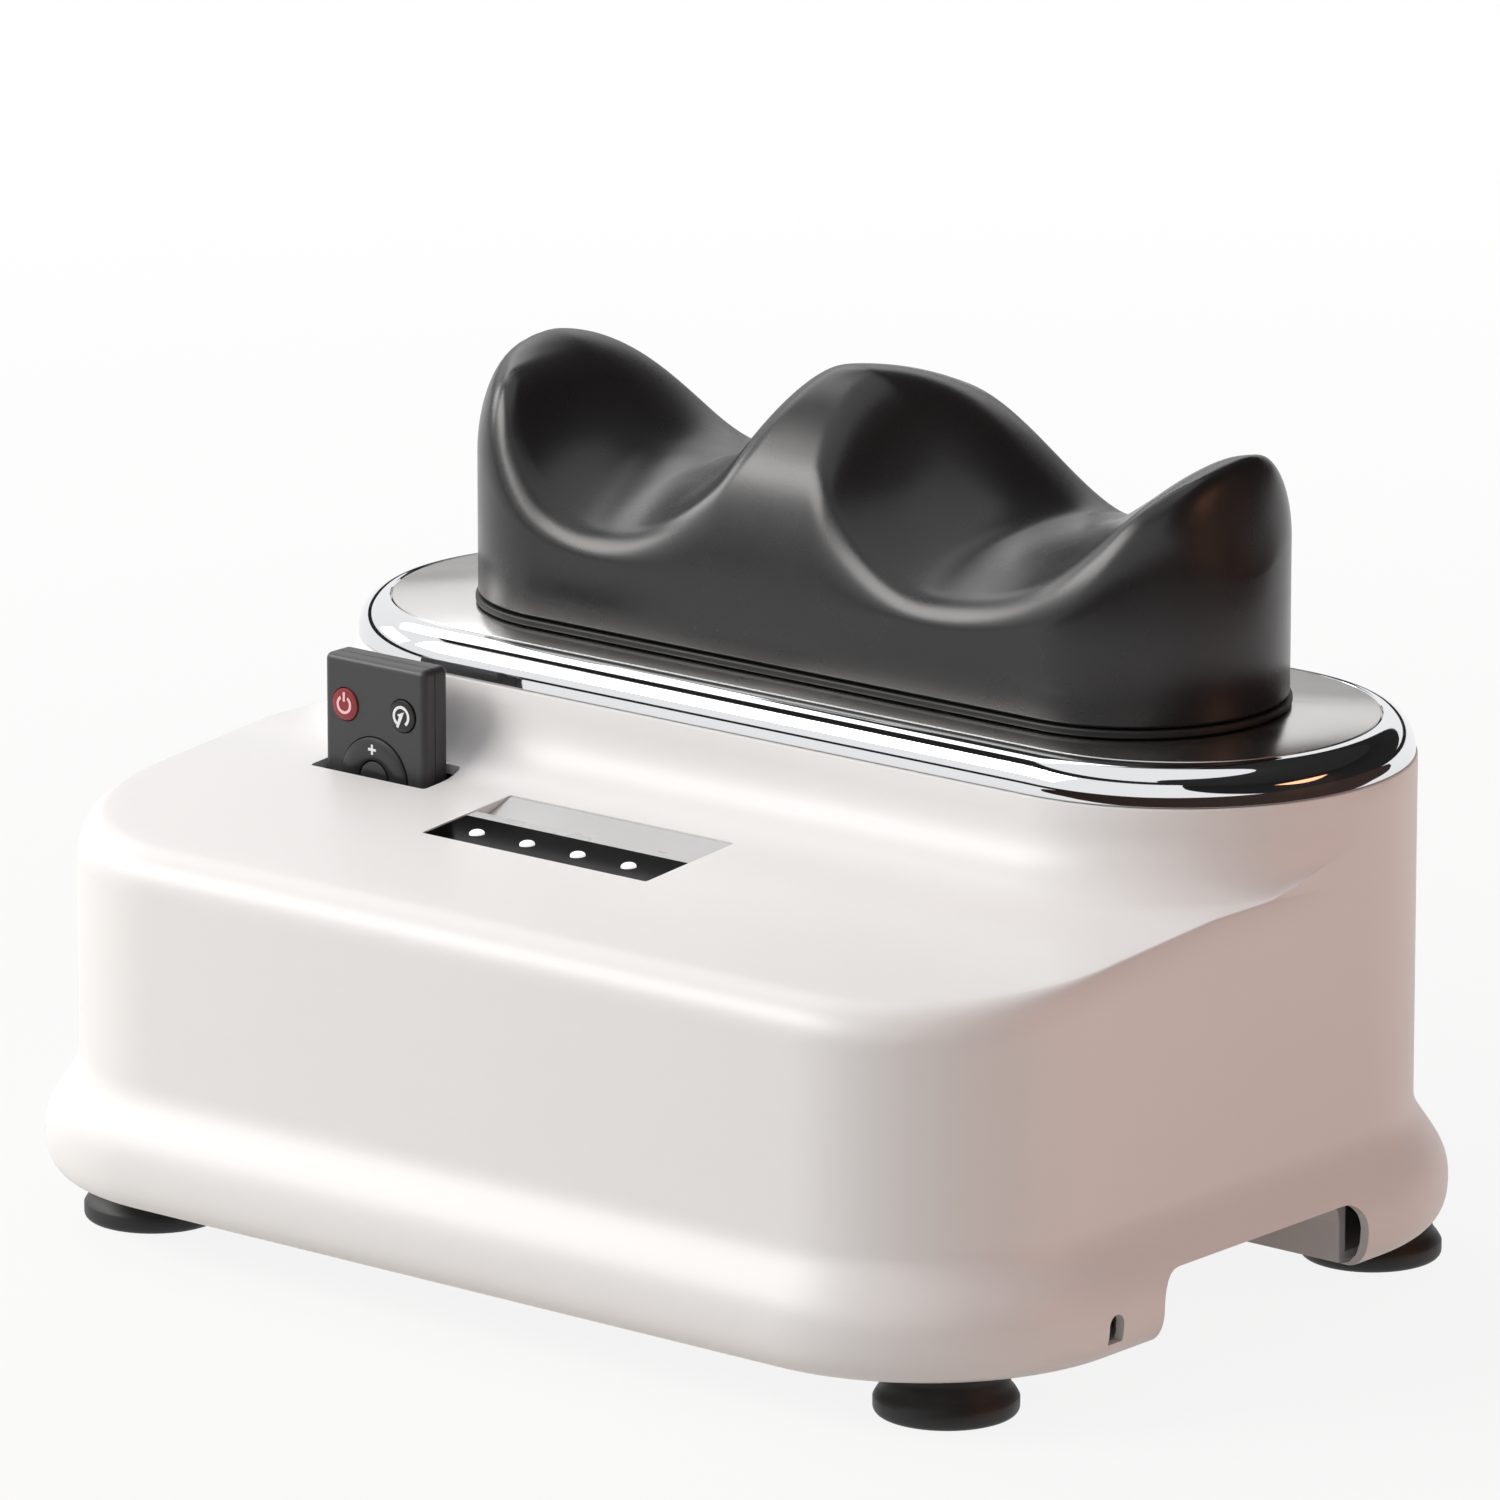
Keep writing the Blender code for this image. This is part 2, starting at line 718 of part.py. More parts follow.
def make_housing():
    shell = loft("upper_housing", housing_rings(0, SKIRT_STEPS, TOWER_TOP), "white_gloss")
    rings = housing_rings(WALL, 2, TOWER_TOP - LIP_THICKNESS)
    mouth = [Vector((point.x, point.y, SKIRT_BOTTOM - OVERRUN)) for point in rings[0]]
    boolean(shell, loft("cavity_cut", [mouth] + rings, None))
    boolean(shell, tower_slab("top_opening_cut", LIP_WIDTH, TOWER_TOP - LIP_THICKNESS - OVERRUN,
                              TOWER_TOP + OVERRUN, None))
    outside = HALF_WIDTH + SKIRT_BULGE + OVERRUN
    boolean(shell, across("hand_notch_cut", [tunnel_loop()], -outside, outside, None))
    boolean(shell, across("outlet_cut", [outlet_loop()], HALF_WIDTH - WALL - OVERRUN, outside, None))
    half = DISPLAY_WIDTH / 2
    reach = DISPLAY["length"] / 2
    loop = rounded_loop((-half, -reach), (half, reach), DISPLAY["corner"])
    boolean(shell, plate("display_cut", [loop], -WALL - OVERRUN, OVERRUN, None, display_frame()))
    boolean(shell, plate("remote_slot_cut", [slot_loop(0)], DECK_FRONT_HEIGHT - OVERRUN,
                         DECK_BACK_HEIGHT + DECK_FILLET, None))


def make_trim_ring():
    low = TOWER_TOP + GAP
    width = RING["width"]
    height = RING["height"]
    start = RING["joint_inset"]
    middle = start + (width - start) * RING["crown_share"]
    profile = [(start, low)]
    steps = 6
    for k in range(1, steps + 1):
        angle = pi / 2 * k / steps
        profile.append((middle - (middle - start) * cos(angle), low + height * (RING["shoulder_share"]
                        + (1 - RING["shoulder_share"]) * sin(angle))))
    shelf_top = low + RING["shelf_height"]
    shelf_edge = width + RING["shelf"]
    profile += [(width, PLATE_TOP - GAP), (width, shelf_top), (shelf_edge, shelf_top), (shelf_edge, low)]
    rings = [flat_ring(tower_outline(inset), level) for inset, level in profile]
    loft("trim_ring", rings, "chrome", closed=True)


def post_slot(side):
    half = STROKE + SLIDE["post_radius"] + RUN_GAP
    radius = SLIDE["post_radius"] + RUN_GAP
    return stadium_loop((side * SLIDE["post_x"], TOWER_Y), half, radius)


def make_top_plate():
    outline = [(point.x, point.y) for point in tower_outline(RING["width"] + GAP)]
    plate("top_plate", [outline, post_slot(-1), post_slot(1)], PLATE_BOTTOM, PLATE_TOP, "silver_plate")


def make_base_pan():
    pan = loft("base_pan", [flat_ring(body_outline(PAN_INSET), level) for level in (SKIRT_BOTTOM, PAN_TOP)],
               "white_gloss")
    hole = FOOT["screw_radius"] + GAP
    for x, y in standoff_spots():
        post = cylinder("standoff", PAN["standoff_radius"], (x, y, PAN_TOP - GAP), BOARD["standoff"], None, 12)
        boolean(pan, post, "UNION")
    wall = PAN["pocket_wall"]
    outer = HALF_WIDTH - PAN_INSET
    inner = HALF_WIDTH - PAN["pocket_depth"]
    for side, name in ((-1, "left"), (1, "right")):
        ends = sorted((side * inner, side * outer))
        low = (ends[0], TUNNEL_FRONT - wall, SKIRT_BOTTOM)
        high = (ends[1], TUNNEL_REAR + wall, TUNNEL_TOP + wall)
        boolean(pan, box("pocket_" + name, low, high, None), "UNION")
    for side, name in ((-1, "left"), (1, "right")):
        ends = sorted((side * (inner + wall), side * (outer + OVERRUN)))
        boolean(pan, across("hand_cut_" + name, [tunnel_loop()], ends[0], ends[1], None))
    for spot, (x, y) in FOOT_SPOTS.items():
        base = (x, y, SKIRT_BOTTOM - OVERRUN)
        boolean(pan, cylinder("screw_hole_" + spot, hole, base, PAN["thickness"] + 2 * OVERRUN, None, 16))


def standoff_spots():
    reach_x = BOARD["half_length"] - BOARD["hole_inset"]
    reach_y = BOARD["half_width"] - BOARD["hole_inset"]
    return [(BOARD_X + i * reach_x, TOWER_Y + j * reach_y) for i in (-1, 1) for j in (-1, 1)]


def make_feet():
    hole = FOOT["screw_radius"] + GAP
    radius = FOOT["radius"]
    inner = radius - FOOT["rim_width"]
    top = SKIRT_BOTTOM - GAP
    rounding = FOOT["rim_rounding"]
    cup = [
        (0, FOOT["hole_bottom"]),
        (hole, FOOT["hole_bottom"]),
        (hole, top),
        (FOOT["neck_radius"], top),
        (FOOT["neck_radius"], FOOT["neck_height"]),
        (FOOT["bell_radius"], FOOT["bell_height"]),
        (radius, FOOT["rim_height"]),
        (radius, rounding),
        (radius - rounding / 3, rounding / 3),
        (radius - rounding, 0),
        (inner, 0),
        (inner / 2, FOOT["hollow_height"]),
        (0, FOOT["hollow_height"]),
    ]
    head = FOOT["head_radius"]
    seat = PAN_TOP + GAP
    shank = FOOT["screw_radius"]
    screw = [
        (0, seat + FOOT["head_height"]),
        (shank, seat + FOOT["head_height"]),
        (head, seat + FOOT["head_height"] / 2),
        (head, seat),
        (shank, seat),
        (shank, FOOT["hole_bottom"] + GAP),
        (0, FOOT["hole_bottom"] + GAP),
    ]
    for spot, (x, y) in FOOT_SPOTS.items():
        turned("suction_foot_" + spot, cup, (x, y, 0), "rubber", 32)
        turned("foot_screw_" + spot, screw, (x, y, 0), "steel", 16)


def make_display():
    frame = display_frame()
    half = DISPLAY_WIDTH / 2 - GAP
    reach = DISPLAY["length"] / 2 - GAP
    top = -DISPLAY["sink"]
    lens_low = top - DISPLAY["lens_thickness"]
    lens_end = -reach + DISPLAY["lens_length"]
    bottom = -DISPLAY["depth"]
    lamp_y = DISPLAY["lamp_row"] - reach
    pitch = DISPLAY_WIDTH * DISPLAY["pitch_share"]
    lamps = [((k - (LAMP_COUNT - 1) / 2) * pitch, lamp_y) for k in range(LAMP_COUNT)]
    holes = [circle_loop(spot, DISPLAY["lamp_radius"] + GAP, 16) for spot in lamps]
    lens = rounded_loop((-half, -reach), (half, lens_end), DISPLAY["corner"] - GAP, 2)
    plate("display_lens", [lens] + holes, lens_low, top, "smoked_glass", frame)
    ledge = lens_end + GAP
    ledge_end = ledge + DISPLAY["ledge_length"]
    scoop = top - DISPLAY["scoop_depth"]
    side = [(-reach, bottom), (reach, bottom), (reach, top), (ledge_end + DISPLAY["scoop_depth"], scoop),
            (ledge_end, top), (ledge, top), (ledge, lens_low - GAP), (-reach, lens_low - GAP)]
    bezel = plate("display_bezel", [side], -half, half, "light_grey", frame @ ALONG_X)
    below = -WALL - GAP
    grown = (half + DISPLAY["flange"], reach + DISPLAY["flange"])
    flange = box("bezel_flange", (-grown[0], -grown[1], below - DISPLAY["flange_thickness"]),
                 (grown[0], grown[1], below), None)
    boolean(bezel, placed(flange, frame), "UNION")
    for k, spot in enumerate(lamps):
        base = (spot[0], spot[1], bottom - OVERRUN)
        drill = cylinder("lamp_hole", DISPLAY["lamp_radius"] + GAP, base, DISPLAY["depth"] + OVERRUN, None, 16)
        boolean(bezel, placed(drill, frame))
        radius = DISPLAY["lamp_radius"]
        dome = [(0, top + DISPLAY["lamp_rise"])]
        for step in range(1, 4):
            angle = pi / 2 * step / 3
            dome.append((radius * sin(angle), top + DISPLAY["lamp_rise"] * cos(angle)))
        dome += [(radius, bottom), (0, bottom)]
        lamp = turned("status_lamp_%d" % (k + 1), dome, (0, 0, 0), "lamp_white", 16)
        placed(lamp, frame @ Matrix.Translation((spot[0], spot[1], 0)))
    board_top = bottom - GAP
    board = box("display_board", (-half, -reach, board_top - DISPLAY["board_thickness"]),
                (half, lens_end, board_top), "board_green")
    placed(board, frame)


def make_holster():
    wall = HOLSTER["wall"]
    floor = REMOTE_BOTTOM - GAP
    low, high = slot_corners(wall)
    middle_y = (low[1] + high[1]) / 2
    body = plate("remote_holster", [slot_loop(wall)], floor - wall, DECK_BACK_HEIGHT + OVERRUN, "black_plastic")
    frame = deck_frame((low[0] + high[0]) / 2, middle_y)
    grow = HOLSTER["flange"]
    half_x = (high[0] - low[0]) / 2 + grow
    half_y = (high[1] - low[1]) / 2 + grow
    below = -WALL - GAP
    flange = box("holster_flange", (-half_x, -half_y, below - wall), (half_x, half_y, below + OVERRUN), None)
    boolean(body, placed(flange, frame), "UNION")
    lid = box("holster_top_cut", (-2 * half_x, -2 * half_y, below), (2 * half_x, 2 * half_y, below + half_x), None)
    boolean(body, placed(lid, frame))
    boolean(body, plate("holster_pocket_cut", [slot_loop(0)], floor, DECK_BACK_HEIGHT + 2 * OVERRUN, None))


def make_motor():
    x = MOTOR_X
    low = PAN_TOP + DRIVE["motor_rise"]
    top = MOTOR_TOP
    radius = DRIVE["motor_radius"]
    edge = DRIVE["bracket_thickness"]
    sleeve = DRIVE["motor_shaft_radius"] + GAP
    sunk = top - DRIVE["motor_shaft_sunk"]
    can = [
        (0, sunk),
        (sleeve, sunk),
        (sleeve, top),
        (radius - edge, top),
        (radius, top - edge),
        (radius, low + edge),
        (radius - edge, low),
        (0, low),
    ]
    turned("motor_can", can, (x, TOWER_Y, 0), "steel", 32)
    width = DRIVE["bracket_half_width"]
    seat = PAN_TOP + GAP
    roof = top + GAP + edge
    foot = width + DRIVE["bracket_foot"]
    arch = [(-foot, seat), (-width + edge, seat), (-width + edge, roof - edge), (width - edge, roof - edge),
            (width - edge, seat), (foot, seat), (foot, seat + edge), (width, seat + edge), (width, roof),
            (-width, roof), (-width, seat + edge), (-foot, seat + edge)]
    loop = [(TOWER_Y + y, z) for y, z in arch]
    length = DRIVE["bracket_half_length"]
    bracket = across("motor_bracket", [loop], x - length, x + length, "steel")
    drill = cylinder("bracket_hole", DRIVE["motor_shaft_radius"] + RUN_GAP, (x, TOWER_Y, top - OVERRUN),
                     edge + 2 * OVERRUN, None, 16)
    boolean(bracket, drill)
    cylinder("motor_shaft", DRIVE["motor_shaft_radius"], (0, 0, sunk + GAP), PULLEY_TOP - sunk - GAP, "steel", 16)


def pulley_profile(groove, bore):
    low = PULLEY_BOTTOM
    top = PULLEY_TOP
    rim = groove + DRIVE["pulley_rim"]
    edge = DRIVE["rim_height"]
    return [(bore, top), (rim, top), (rim, top - edge), (groove, top - edge), (groove, low + edge),
            (rim, low + edge), (rim, low), (bore, low)]


def make_pulleys():
    # The crank stands at its middle of stroke, with the pin straight behind the shaft
    shaft = DRIVE["shaft_radius"]
    big = turned("crank_pulley", pulley_profile(DRIVE["pulley_radius"], shaft + GAP), (0, 0, 0), "grey_plastic", 40)
    pin_low = PULLEY_TOP - DRIVE["pin_sunk"]
    boolean(big, cylinder("pin_hole", DRIVE["pin_radius"] + GAP, (0, STROKE, pin_low), DRIVE["pin_sunk"] + OVERRUN,
                          None, 16))
    shaft_low = PAN_TOP + 2 * GAP
    cylinder("crank_shaft", shaft, (0, 0, shaft_low), PULLEY_TOP - shaft_low, "steel", 24)
    roller_top = YOKE_BOTTOM - SLIDE["yoke_lift"]
    roller_low = roller_top - DRIVE["roller_height"]
    pin = cylinder("crank_pin", DRIVE["pin_radius"], (0, STROKE, pin_low + GAP), roller_top - pin_low - GAP,
                   "steel", 16)
    collar = cylinder("pin_collar", DRIVE["pin_radius"] + DRIVE["belt_thickness"], (0, STROKE, PULLEY_TOP + GAP),
                      roller_low - PULLEY_TOP - 2 * GAP, None, 16)
    boolean(pin, collar, "UNION")
    turned("crank_roller", ring_profile(DRIVE["pin_radius"] + GAP, DRIVE["roller_radius"], roller_low, roller_top),
           (0, STROKE, 0), "bronze", 24)
    small = pulley_profile(DRIVE["small_radius"], DRIVE["motor_shaft_radius"] + GAP)
    turned("motor_pulley", small, (0, 0, 0), "grey_plastic", 24)


def belt_loop(grow):
    # Round both pulleys, with the straight runs along their common tangents
    big = DRIVE["pulley_radius"] + grow
    small = DRIVE["small_radius"] + grow
    lean = acos((big - small) / MOTOR_X)
    points = []
    for k in range(BELT_BIG_STEPS + 1):
        angle = lean + (2 * pi - 2 * lean) * k / BELT_BIG_STEPS
        points.append((big * cos(angle), TOWER_Y + big * sin(angle)))
    for k in range(BELT_SMALL_STEPS + 1):
        angle = -lean + 2 * lean * k / BELT_SMALL_STEPS
        points.append((MOTOR_X + small * cos(angle), TOWER_Y + small * sin(angle)))
    return points


def make_belt():
    low = PULLEY_BOTTOM + DRIVE["rim_height"] + DRIVE["belt_play"]
    top = PULLEY_TOP - DRIVE["rim_height"] - DRIVE["belt_play"]
    inner = RUN_GAP
    plate("drive_belt", [belt_loop(inner + DRIVE["belt_thickness"]), belt_loop(inner)], low, top, "rubber")


def make_bearings():
    height = DRIVE["bearing_height"]
    pocket = DRIVE["bearing_radius"] + GAP
    low = PAN_TOP + GAP
    top = PULLEY_BOTTOM - DRIVE["housing_drop"]
    bore = DRIVE["housing_bore"]
    radius = DRIVE["housing_radius"]
    flange = DRIVE["flange_radius"]
    floor = low + DRIVE["flange_height"]
    profile = [
        (pocket, top),
        (radius, top),
        (radius, floor + radius / 3),
        (radius + radius / 3, floor),
        (flange, floor),
        (flange, low),
        (pocket, low),
        (pocket, low + GAP + height + GAP),
        (bore, low + GAP + height + GAP),
        (bore, top - height - 2 * GAP),
        (pocket, top - height - 2 * GAP),
    ]
    turned("bearing_housing", profile, (0, TOWER_Y, 0), "steel", 32)
    inner = DRIVE["shaft_radius"] + GAP
    outer = DRIVE["bearing_radius"]
    turned("lower_bearing", ring_profile(inner, outer, low + GAP, low + GAP + height), (0, TOWER_Y, 0), "steel", 24)
    turned("upper_bearing", ring_profile(inner, outer, top - GAP - height, top - GAP), (0, TOWER_Y, 0), "steel", 24)


def rail_ys():
    return {"front": TOWER_Y - SLIDE["rail_spacing"] / 2, "rear": TOWER_Y + SLIDE["rail_spacing"] / 2}


def make_rails():
    height = RAIL_HEIGHT
    radius = SLIDE["rail_radius"]
    length = 2 * (BRIDGE_X + SLIDE["rail_end"])
    for name, y in rail_ys().items():
        cylinder("guide_rail_" + name, radius, (-length / 2, y, height), length, "chrome", 20, "X")
    low = PAN_TOP + GAP
    top = height + SLIDE["bridge_head"]
    wide = SLIDE["bridge_half_width"]
    narrow = SLIDE["bridge_top_half_width"]
    corner = wide - narrow
    loop = [(TOWER_Y - wide, low), (TOWER_Y + wide, low), (TOWER_Y + wide, top - corner), (TOWER_Y + narrow, top),
            (TOWER_Y - narrow, top), (TOWER_Y - wide, top - corner)]
    holes = [circle_loop((y, height), radius + GAP, 20) for y in rail_ys().values()]
    thickness = SLIDE["bridge_thickness"]
    for side, name in ((-1, "left"), (1, "right")):
        near = side * BRIDGE_X
        far = near + side * thickness
        ends = sorted((near, far))
        bridge = across("rail_bridge_" + name, [loop] + holes, ends[0], ends[1], "steel")
        toe = sorted((near + side * thickness / 2, near + side * SLIDE["bridge_foot"]))
        foot = box("bridge_foot_" + name, (toe[0], TOWER_Y - wide, low), (toe[1], TOWER_Y + wide, low + thickness),
                   None)
        boolean(bridge, foot, "UNION")


def yoke_loop():
    half_width = DRIVE["roller_radius"] + SLIDE["yoke_play"]
    half_length = STROKE + half_width
    return [(y, TOWER_Y + x) for x, y in stadium_loop((0, 0), half_length, half_width, 8)]


def make_carriage():
    low = YOKE_BOTTOM
    top = low + SLIDE["plate_thickness"]
    half = SLIDE["plate_half_length"]
    reach = SLIDE["rail_spacing"] / 2 + SLIDE["plate_margin"]
    outline = rounded_loop((-half, TOWER_Y - reach), (half, TOWER_Y + reach), SLIDE["plate_corner"])
    body = plate("carriage", [outline, yoke_loop()], low, top, "grey_plastic")
    height = RAIL_HEIGHT
    bush = SLIDE["bush_radius"]
    length = SLIDE["bush_length"]
    reach_x = SLIDE["block_half_length"]
    reach_y = SLIDE["block_half_width"]
    for row, y in rail_ys().items():
        for side, column in ((-1, "left"), (1, "right")):
            x = side * SLIDE["bush_x"]
            name = row + "_" + column
            block = box("block_" + name, (x - reach_x, y - reach_y, top - GAP),
                        (x + reach_x, y + reach_y, height + SLIDE["block_rise"]), None)
            boolean(body, block, "UNION")
            hole = cylinder("bush_hole_" + name, bush + GAP, (x - length, y, height), 2 * length, None, 20, "X")
            boolean(body, hole)
            turned("slide_bush_" + name, ring_profile(SLIDE["rail_radius"] + GAP, bush, -length / 2, length / 2),
                   (x, y, height), "bronze", 20, "X")
    for side, name in ((-1, "left"), (1, "right")):
        x = side * SLIDE["post_x"]
        post_top = BASE_BOTTOM - GAP
        post = cylinder("post_" + name, SLIDE["post_radius"], (x, TOWER_Y, top - GAP), post_top - top + GAP, None, 20)
        boolean(body, post, "UNION")
        spigot = cylinder("spigot_" + name, SLIDE["spigot_radius"], (x, TOWER_Y, post_top - GAP),
                          SLIDE["spigot_height"], None, 16)
        boolean(body, spigot, "UNION")


def make_electronics():
    x = BOARD_X
    low = PAN_TOP - GAP + BOARD["standoff"] + GAP
    top = low + BOARD["thickness"]
    box("control_board", (x - BOARD["half_length"], TOWER_Y - BOARD["half_width"], low),
        (x + BOARD["half_length"], TOWER_Y + BOARD["half_width"], top), "board_green")
    box("transformer", (x - BOARD["coil_half_length"], TOWER_Y - BOARD["coil_half_width"], top + GAP),
        (x + BOARD["coil_half_length"], TOWER_Y + BOARD["coil_half_width"], top + GAP + BOARD["coil_height"]),
        "grey_plastic", BOARD["coil_bevel"], 2)


def rest_outline(inset):
    # Stadium stations with equal counts on the front and the rear run
    radius = FOOTREST_RADIUS - inset
    cx = FOOTREST_LENGTH / 2 - FOOTREST_RADIUS
    points = line_points((-cx, TOWER_Y - radius), (cx, TOWER_Y - radius), REST_STRAIGHT_STEPS)
    points += arc_points((cx, TOWER_Y), radius, -pi / 2, pi / 2, REST_ARC_STEPS)
    points += line_points((cx, TOWER_Y + radius), (-cx, TOWER_Y + radius), REST_STRAIGHT_STEPS)
    points += arc_points((-cx, TOWER_Y), radius, pi / 2, 1.5 * pi, REST_ARC_STEPS)
    return points


def hump_height(y, ridge, height, front_drop, rear_drop):
    # A hump's crown from front to rear, highest at its ridge
    front = TOWER_Y - FOOTREST_RADIUS
    rear = TOWER_Y + FOOTREST_RADIUS
    ahead = max(0, (ridge - y) / (ridge - front)) ** REST_LEAN
    behind = max(0, (y - ridge) / (rear - ridge)) ** REST_LEAN
    return CUSHION_BOTTOM + height - front_drop * ahead - rear_drop * behind


def rest_swell(x):
    # 0 in the middle of a scoop and 1 on the humps
    reach = abs(x)
    if reach < SCOOP_X:
        return (0.5 + 0.5 * cos(pi * reach / SCOOP_X)) ** REST_MIDDLE_SWELL
    share = min(1, (reach - SCOOP_X) / (END_X - SCOOP_X))
    return (0.5 - 0.5 * cos(pi * share)) ** REST_END_SWELL


def rest_height(x, y):
    # Two ankle scoops between a middle hump and two end humps, all leaning back to one ridge
    front = TOWER_Y - FOOTREST_RADIUS
    rear = TOWER_Y + FOOTREST_RADIUS
    middle = hump_height(y, TOWER_Y - REST["middle_ridge"], REST["middle_height"], REST["middle_front_drop"],
                         REST["middle_rear_drop"])
    end = hump_height(y, TOWER_Y + REST["end_ridge"], REST["end_height"], REST["end_front_drop"],
                      REST["end_rear_drop"])
    share = (y - front) / (rear - front)
    scoop = CUSHION_BOTTOM + REST["scoop_front"] + (REST["scoop_rear"] - REST["scoop_front"]) * share
    scoop += 4 * REST["scoop_saddle"] * share * (1 - share)
    reach = abs(x)
    swell = rest_swell(x)
    if reach < SCOOP_X:
        return scoop + (middle - scoop) * swell
    past = max(0, reach - END_X) / REST["end_inset"]
    return scoop + (end - scoop) * swell - REST["end_drop"] * past * past


def make_footrest():
    thickness = REST["base_thickness"]
    outline = stadium_loop((0, TOWER_Y), FOOTREST_LENGTH / 2 + REST["base_proud"],
                           FOOTREST_RADIUS + REST["base_proud"], REST_ARC_STEPS)
    base = plate("footrest_base", [outline], BASE_BOTTOM, BASE_BOTTOM + thickness, "black_plastic")
    for side, name in ((-1, "left"), (1, "right")):
        drill = cylinder("spigot_hole_" + name, SLIDE["spigot_radius"] + GAP,
                         (side * SLIDE["post_x"], TOWER_Y, BASE_BOTTOM - OVERRUN),
                         SLIDE["spigot_height"] + OVERRUN, None, 16)
        boolean(base, drill)
    rings = [flat_ring(rest_outline(0), CUSHION_BOTTOM)]
    for k in range(REST_EDGE_STEPS + 1):
        angle = pi / 2 * k / REST_EDGE_STEPS
        rings.append(crown_ring(REST["edge_width"] * (1 - cos(angle)), 1 - sin(angle)))
    span = FOOTREST_RADIUS - REST["edge_width"] - REST["core_radius"]
    for k in range(1, REST_INNER_STEPS + 1):
        rings.append(crown_ring(REST["edge_width"] + span * k / REST_INNER_STEPS, 0))
    loft_with_seam("footrest_cushion", rings, "charcoal_foam")


def crown_ring(inset, fall):
    # The edge rolls over deeply on the humps and tightly at the mouths of the scoops
    low = REST["rim_height"]
    deep = REST["edge_height"]
    return [Vector((p.x, p.y, rest_height(p.x, p.y) - fall * (low + (deep - low) * rest_swell(p.x))))
            for p in rest_outline(inset)]


def loft_with_seam(name, rings, finish):
    # The last ring is closed by quads between its front and rear runs, so the ridge keeps its curve
    work = bmesh.new()
    rows = [[work.verts.new(point) for point in ring] for ring in rings]
    count = len(rows[0])
    for lower, upper in zip(rows[:-1], rows[1:]):
        for k in range(count):
            n = (k + 1) % count
            work.faces.new((lower[k], lower[n], upper[n], upper[k]))
    work.faces.new(list(reversed(rows[0])))
    last = rows[-1]
    start = -(REST_ARC_STEPS // 2)
    half = count // 2
    for k in range(half):
        a = last[(start + k) % count]
        b = last[(start + k + 1) % count]
        c = last[(start - k - 1) % count]
        d = last[(start - k) % count]
        corners = [vert for i, vert in enumerate((a, b, c, d)) if vert not in (a, b, c, d)[:i]]
        if len(corners) > 2:
            work.faces.new(corners)
    bmesh.ops.recalc_face_normals(work, faces=work.faces)
    bmesh.ops.triangulate(work, faces=[face for face in work.faces if len(face.verts) > 4])
    return smooth(add_object(name, mesh_from(name, work), finish), pi / 3)


def remote_box(name, low, high, finish):
    return box(name, low, high, finish, REMOTE["bevel"], REMOTE["bevel_steps"])


def key_hole(name, x, z, radius):
    # A round hole through the front wall
    face = REMOTE_FRONT + REMOTE["wall"]
    return cylinder(name, radius, (x, REMOTE_FRONT - OVERRUN, z), face + OVERRUN - (REMOTE_FRONT - OVERRUN), None,
                    24, "Y")


def key_profile(radius, bore, flange):
    # Distances run into the case from its front face
    rise = -REMOTE["key_rise"]
    wall = REMOTE["wall"] + GAP
    deep = wall + REMOTE["flange_height"]
    edge = REMOTE["key_rise"] / 2
    if bore > 0:
        return [(bore, deep), (radius + flange, deep), (radius + flange, wall), (radius, wall),
                (radius, rise + edge), (radius - edge, rise), (bore + edge, rise), (bore, rise + edge)]
    if flange > 0:
        return [(0, deep), (radius + flange, deep), (radius + flange, wall), (radius, wall), (radius, rise + edge),
                (radius - edge, rise), (0, rise)]
    return [(0, deep), (radius, deep), (radius, rise + edge), (radius - edge, rise), (0, rise)]


def key_places():
    top = REMOTE_BOTTOM + REMOTE_HEIGHT
    spread = REMOTE["key_spread"]
    upper = top - REMOTE["key_drop"]
    ring = top - REMOTE["ring_drop"]
    return {
        "remote_power_key": (REMOTE_X - spread, upper, REMOTE["key_radius"], 0, REMOTE["key_flange"], "key_red"),
        "remote_mode_key": (REMOTE_X + spread, upper, REMOTE["key_radius"], 0, REMOTE["key_flange"], "key_black"),
        "remote_nav_ring": (REMOTE_X, ring, REMOTE["ring_radius"], REMOTE["centre_radius"] + GAP,
                            REMOTE["key_flange"], "key_black"),
        "remote_centre_key": (REMOTE_X, ring, REMOTE["centre_radius"], 0, 0, "key_black"),
    }


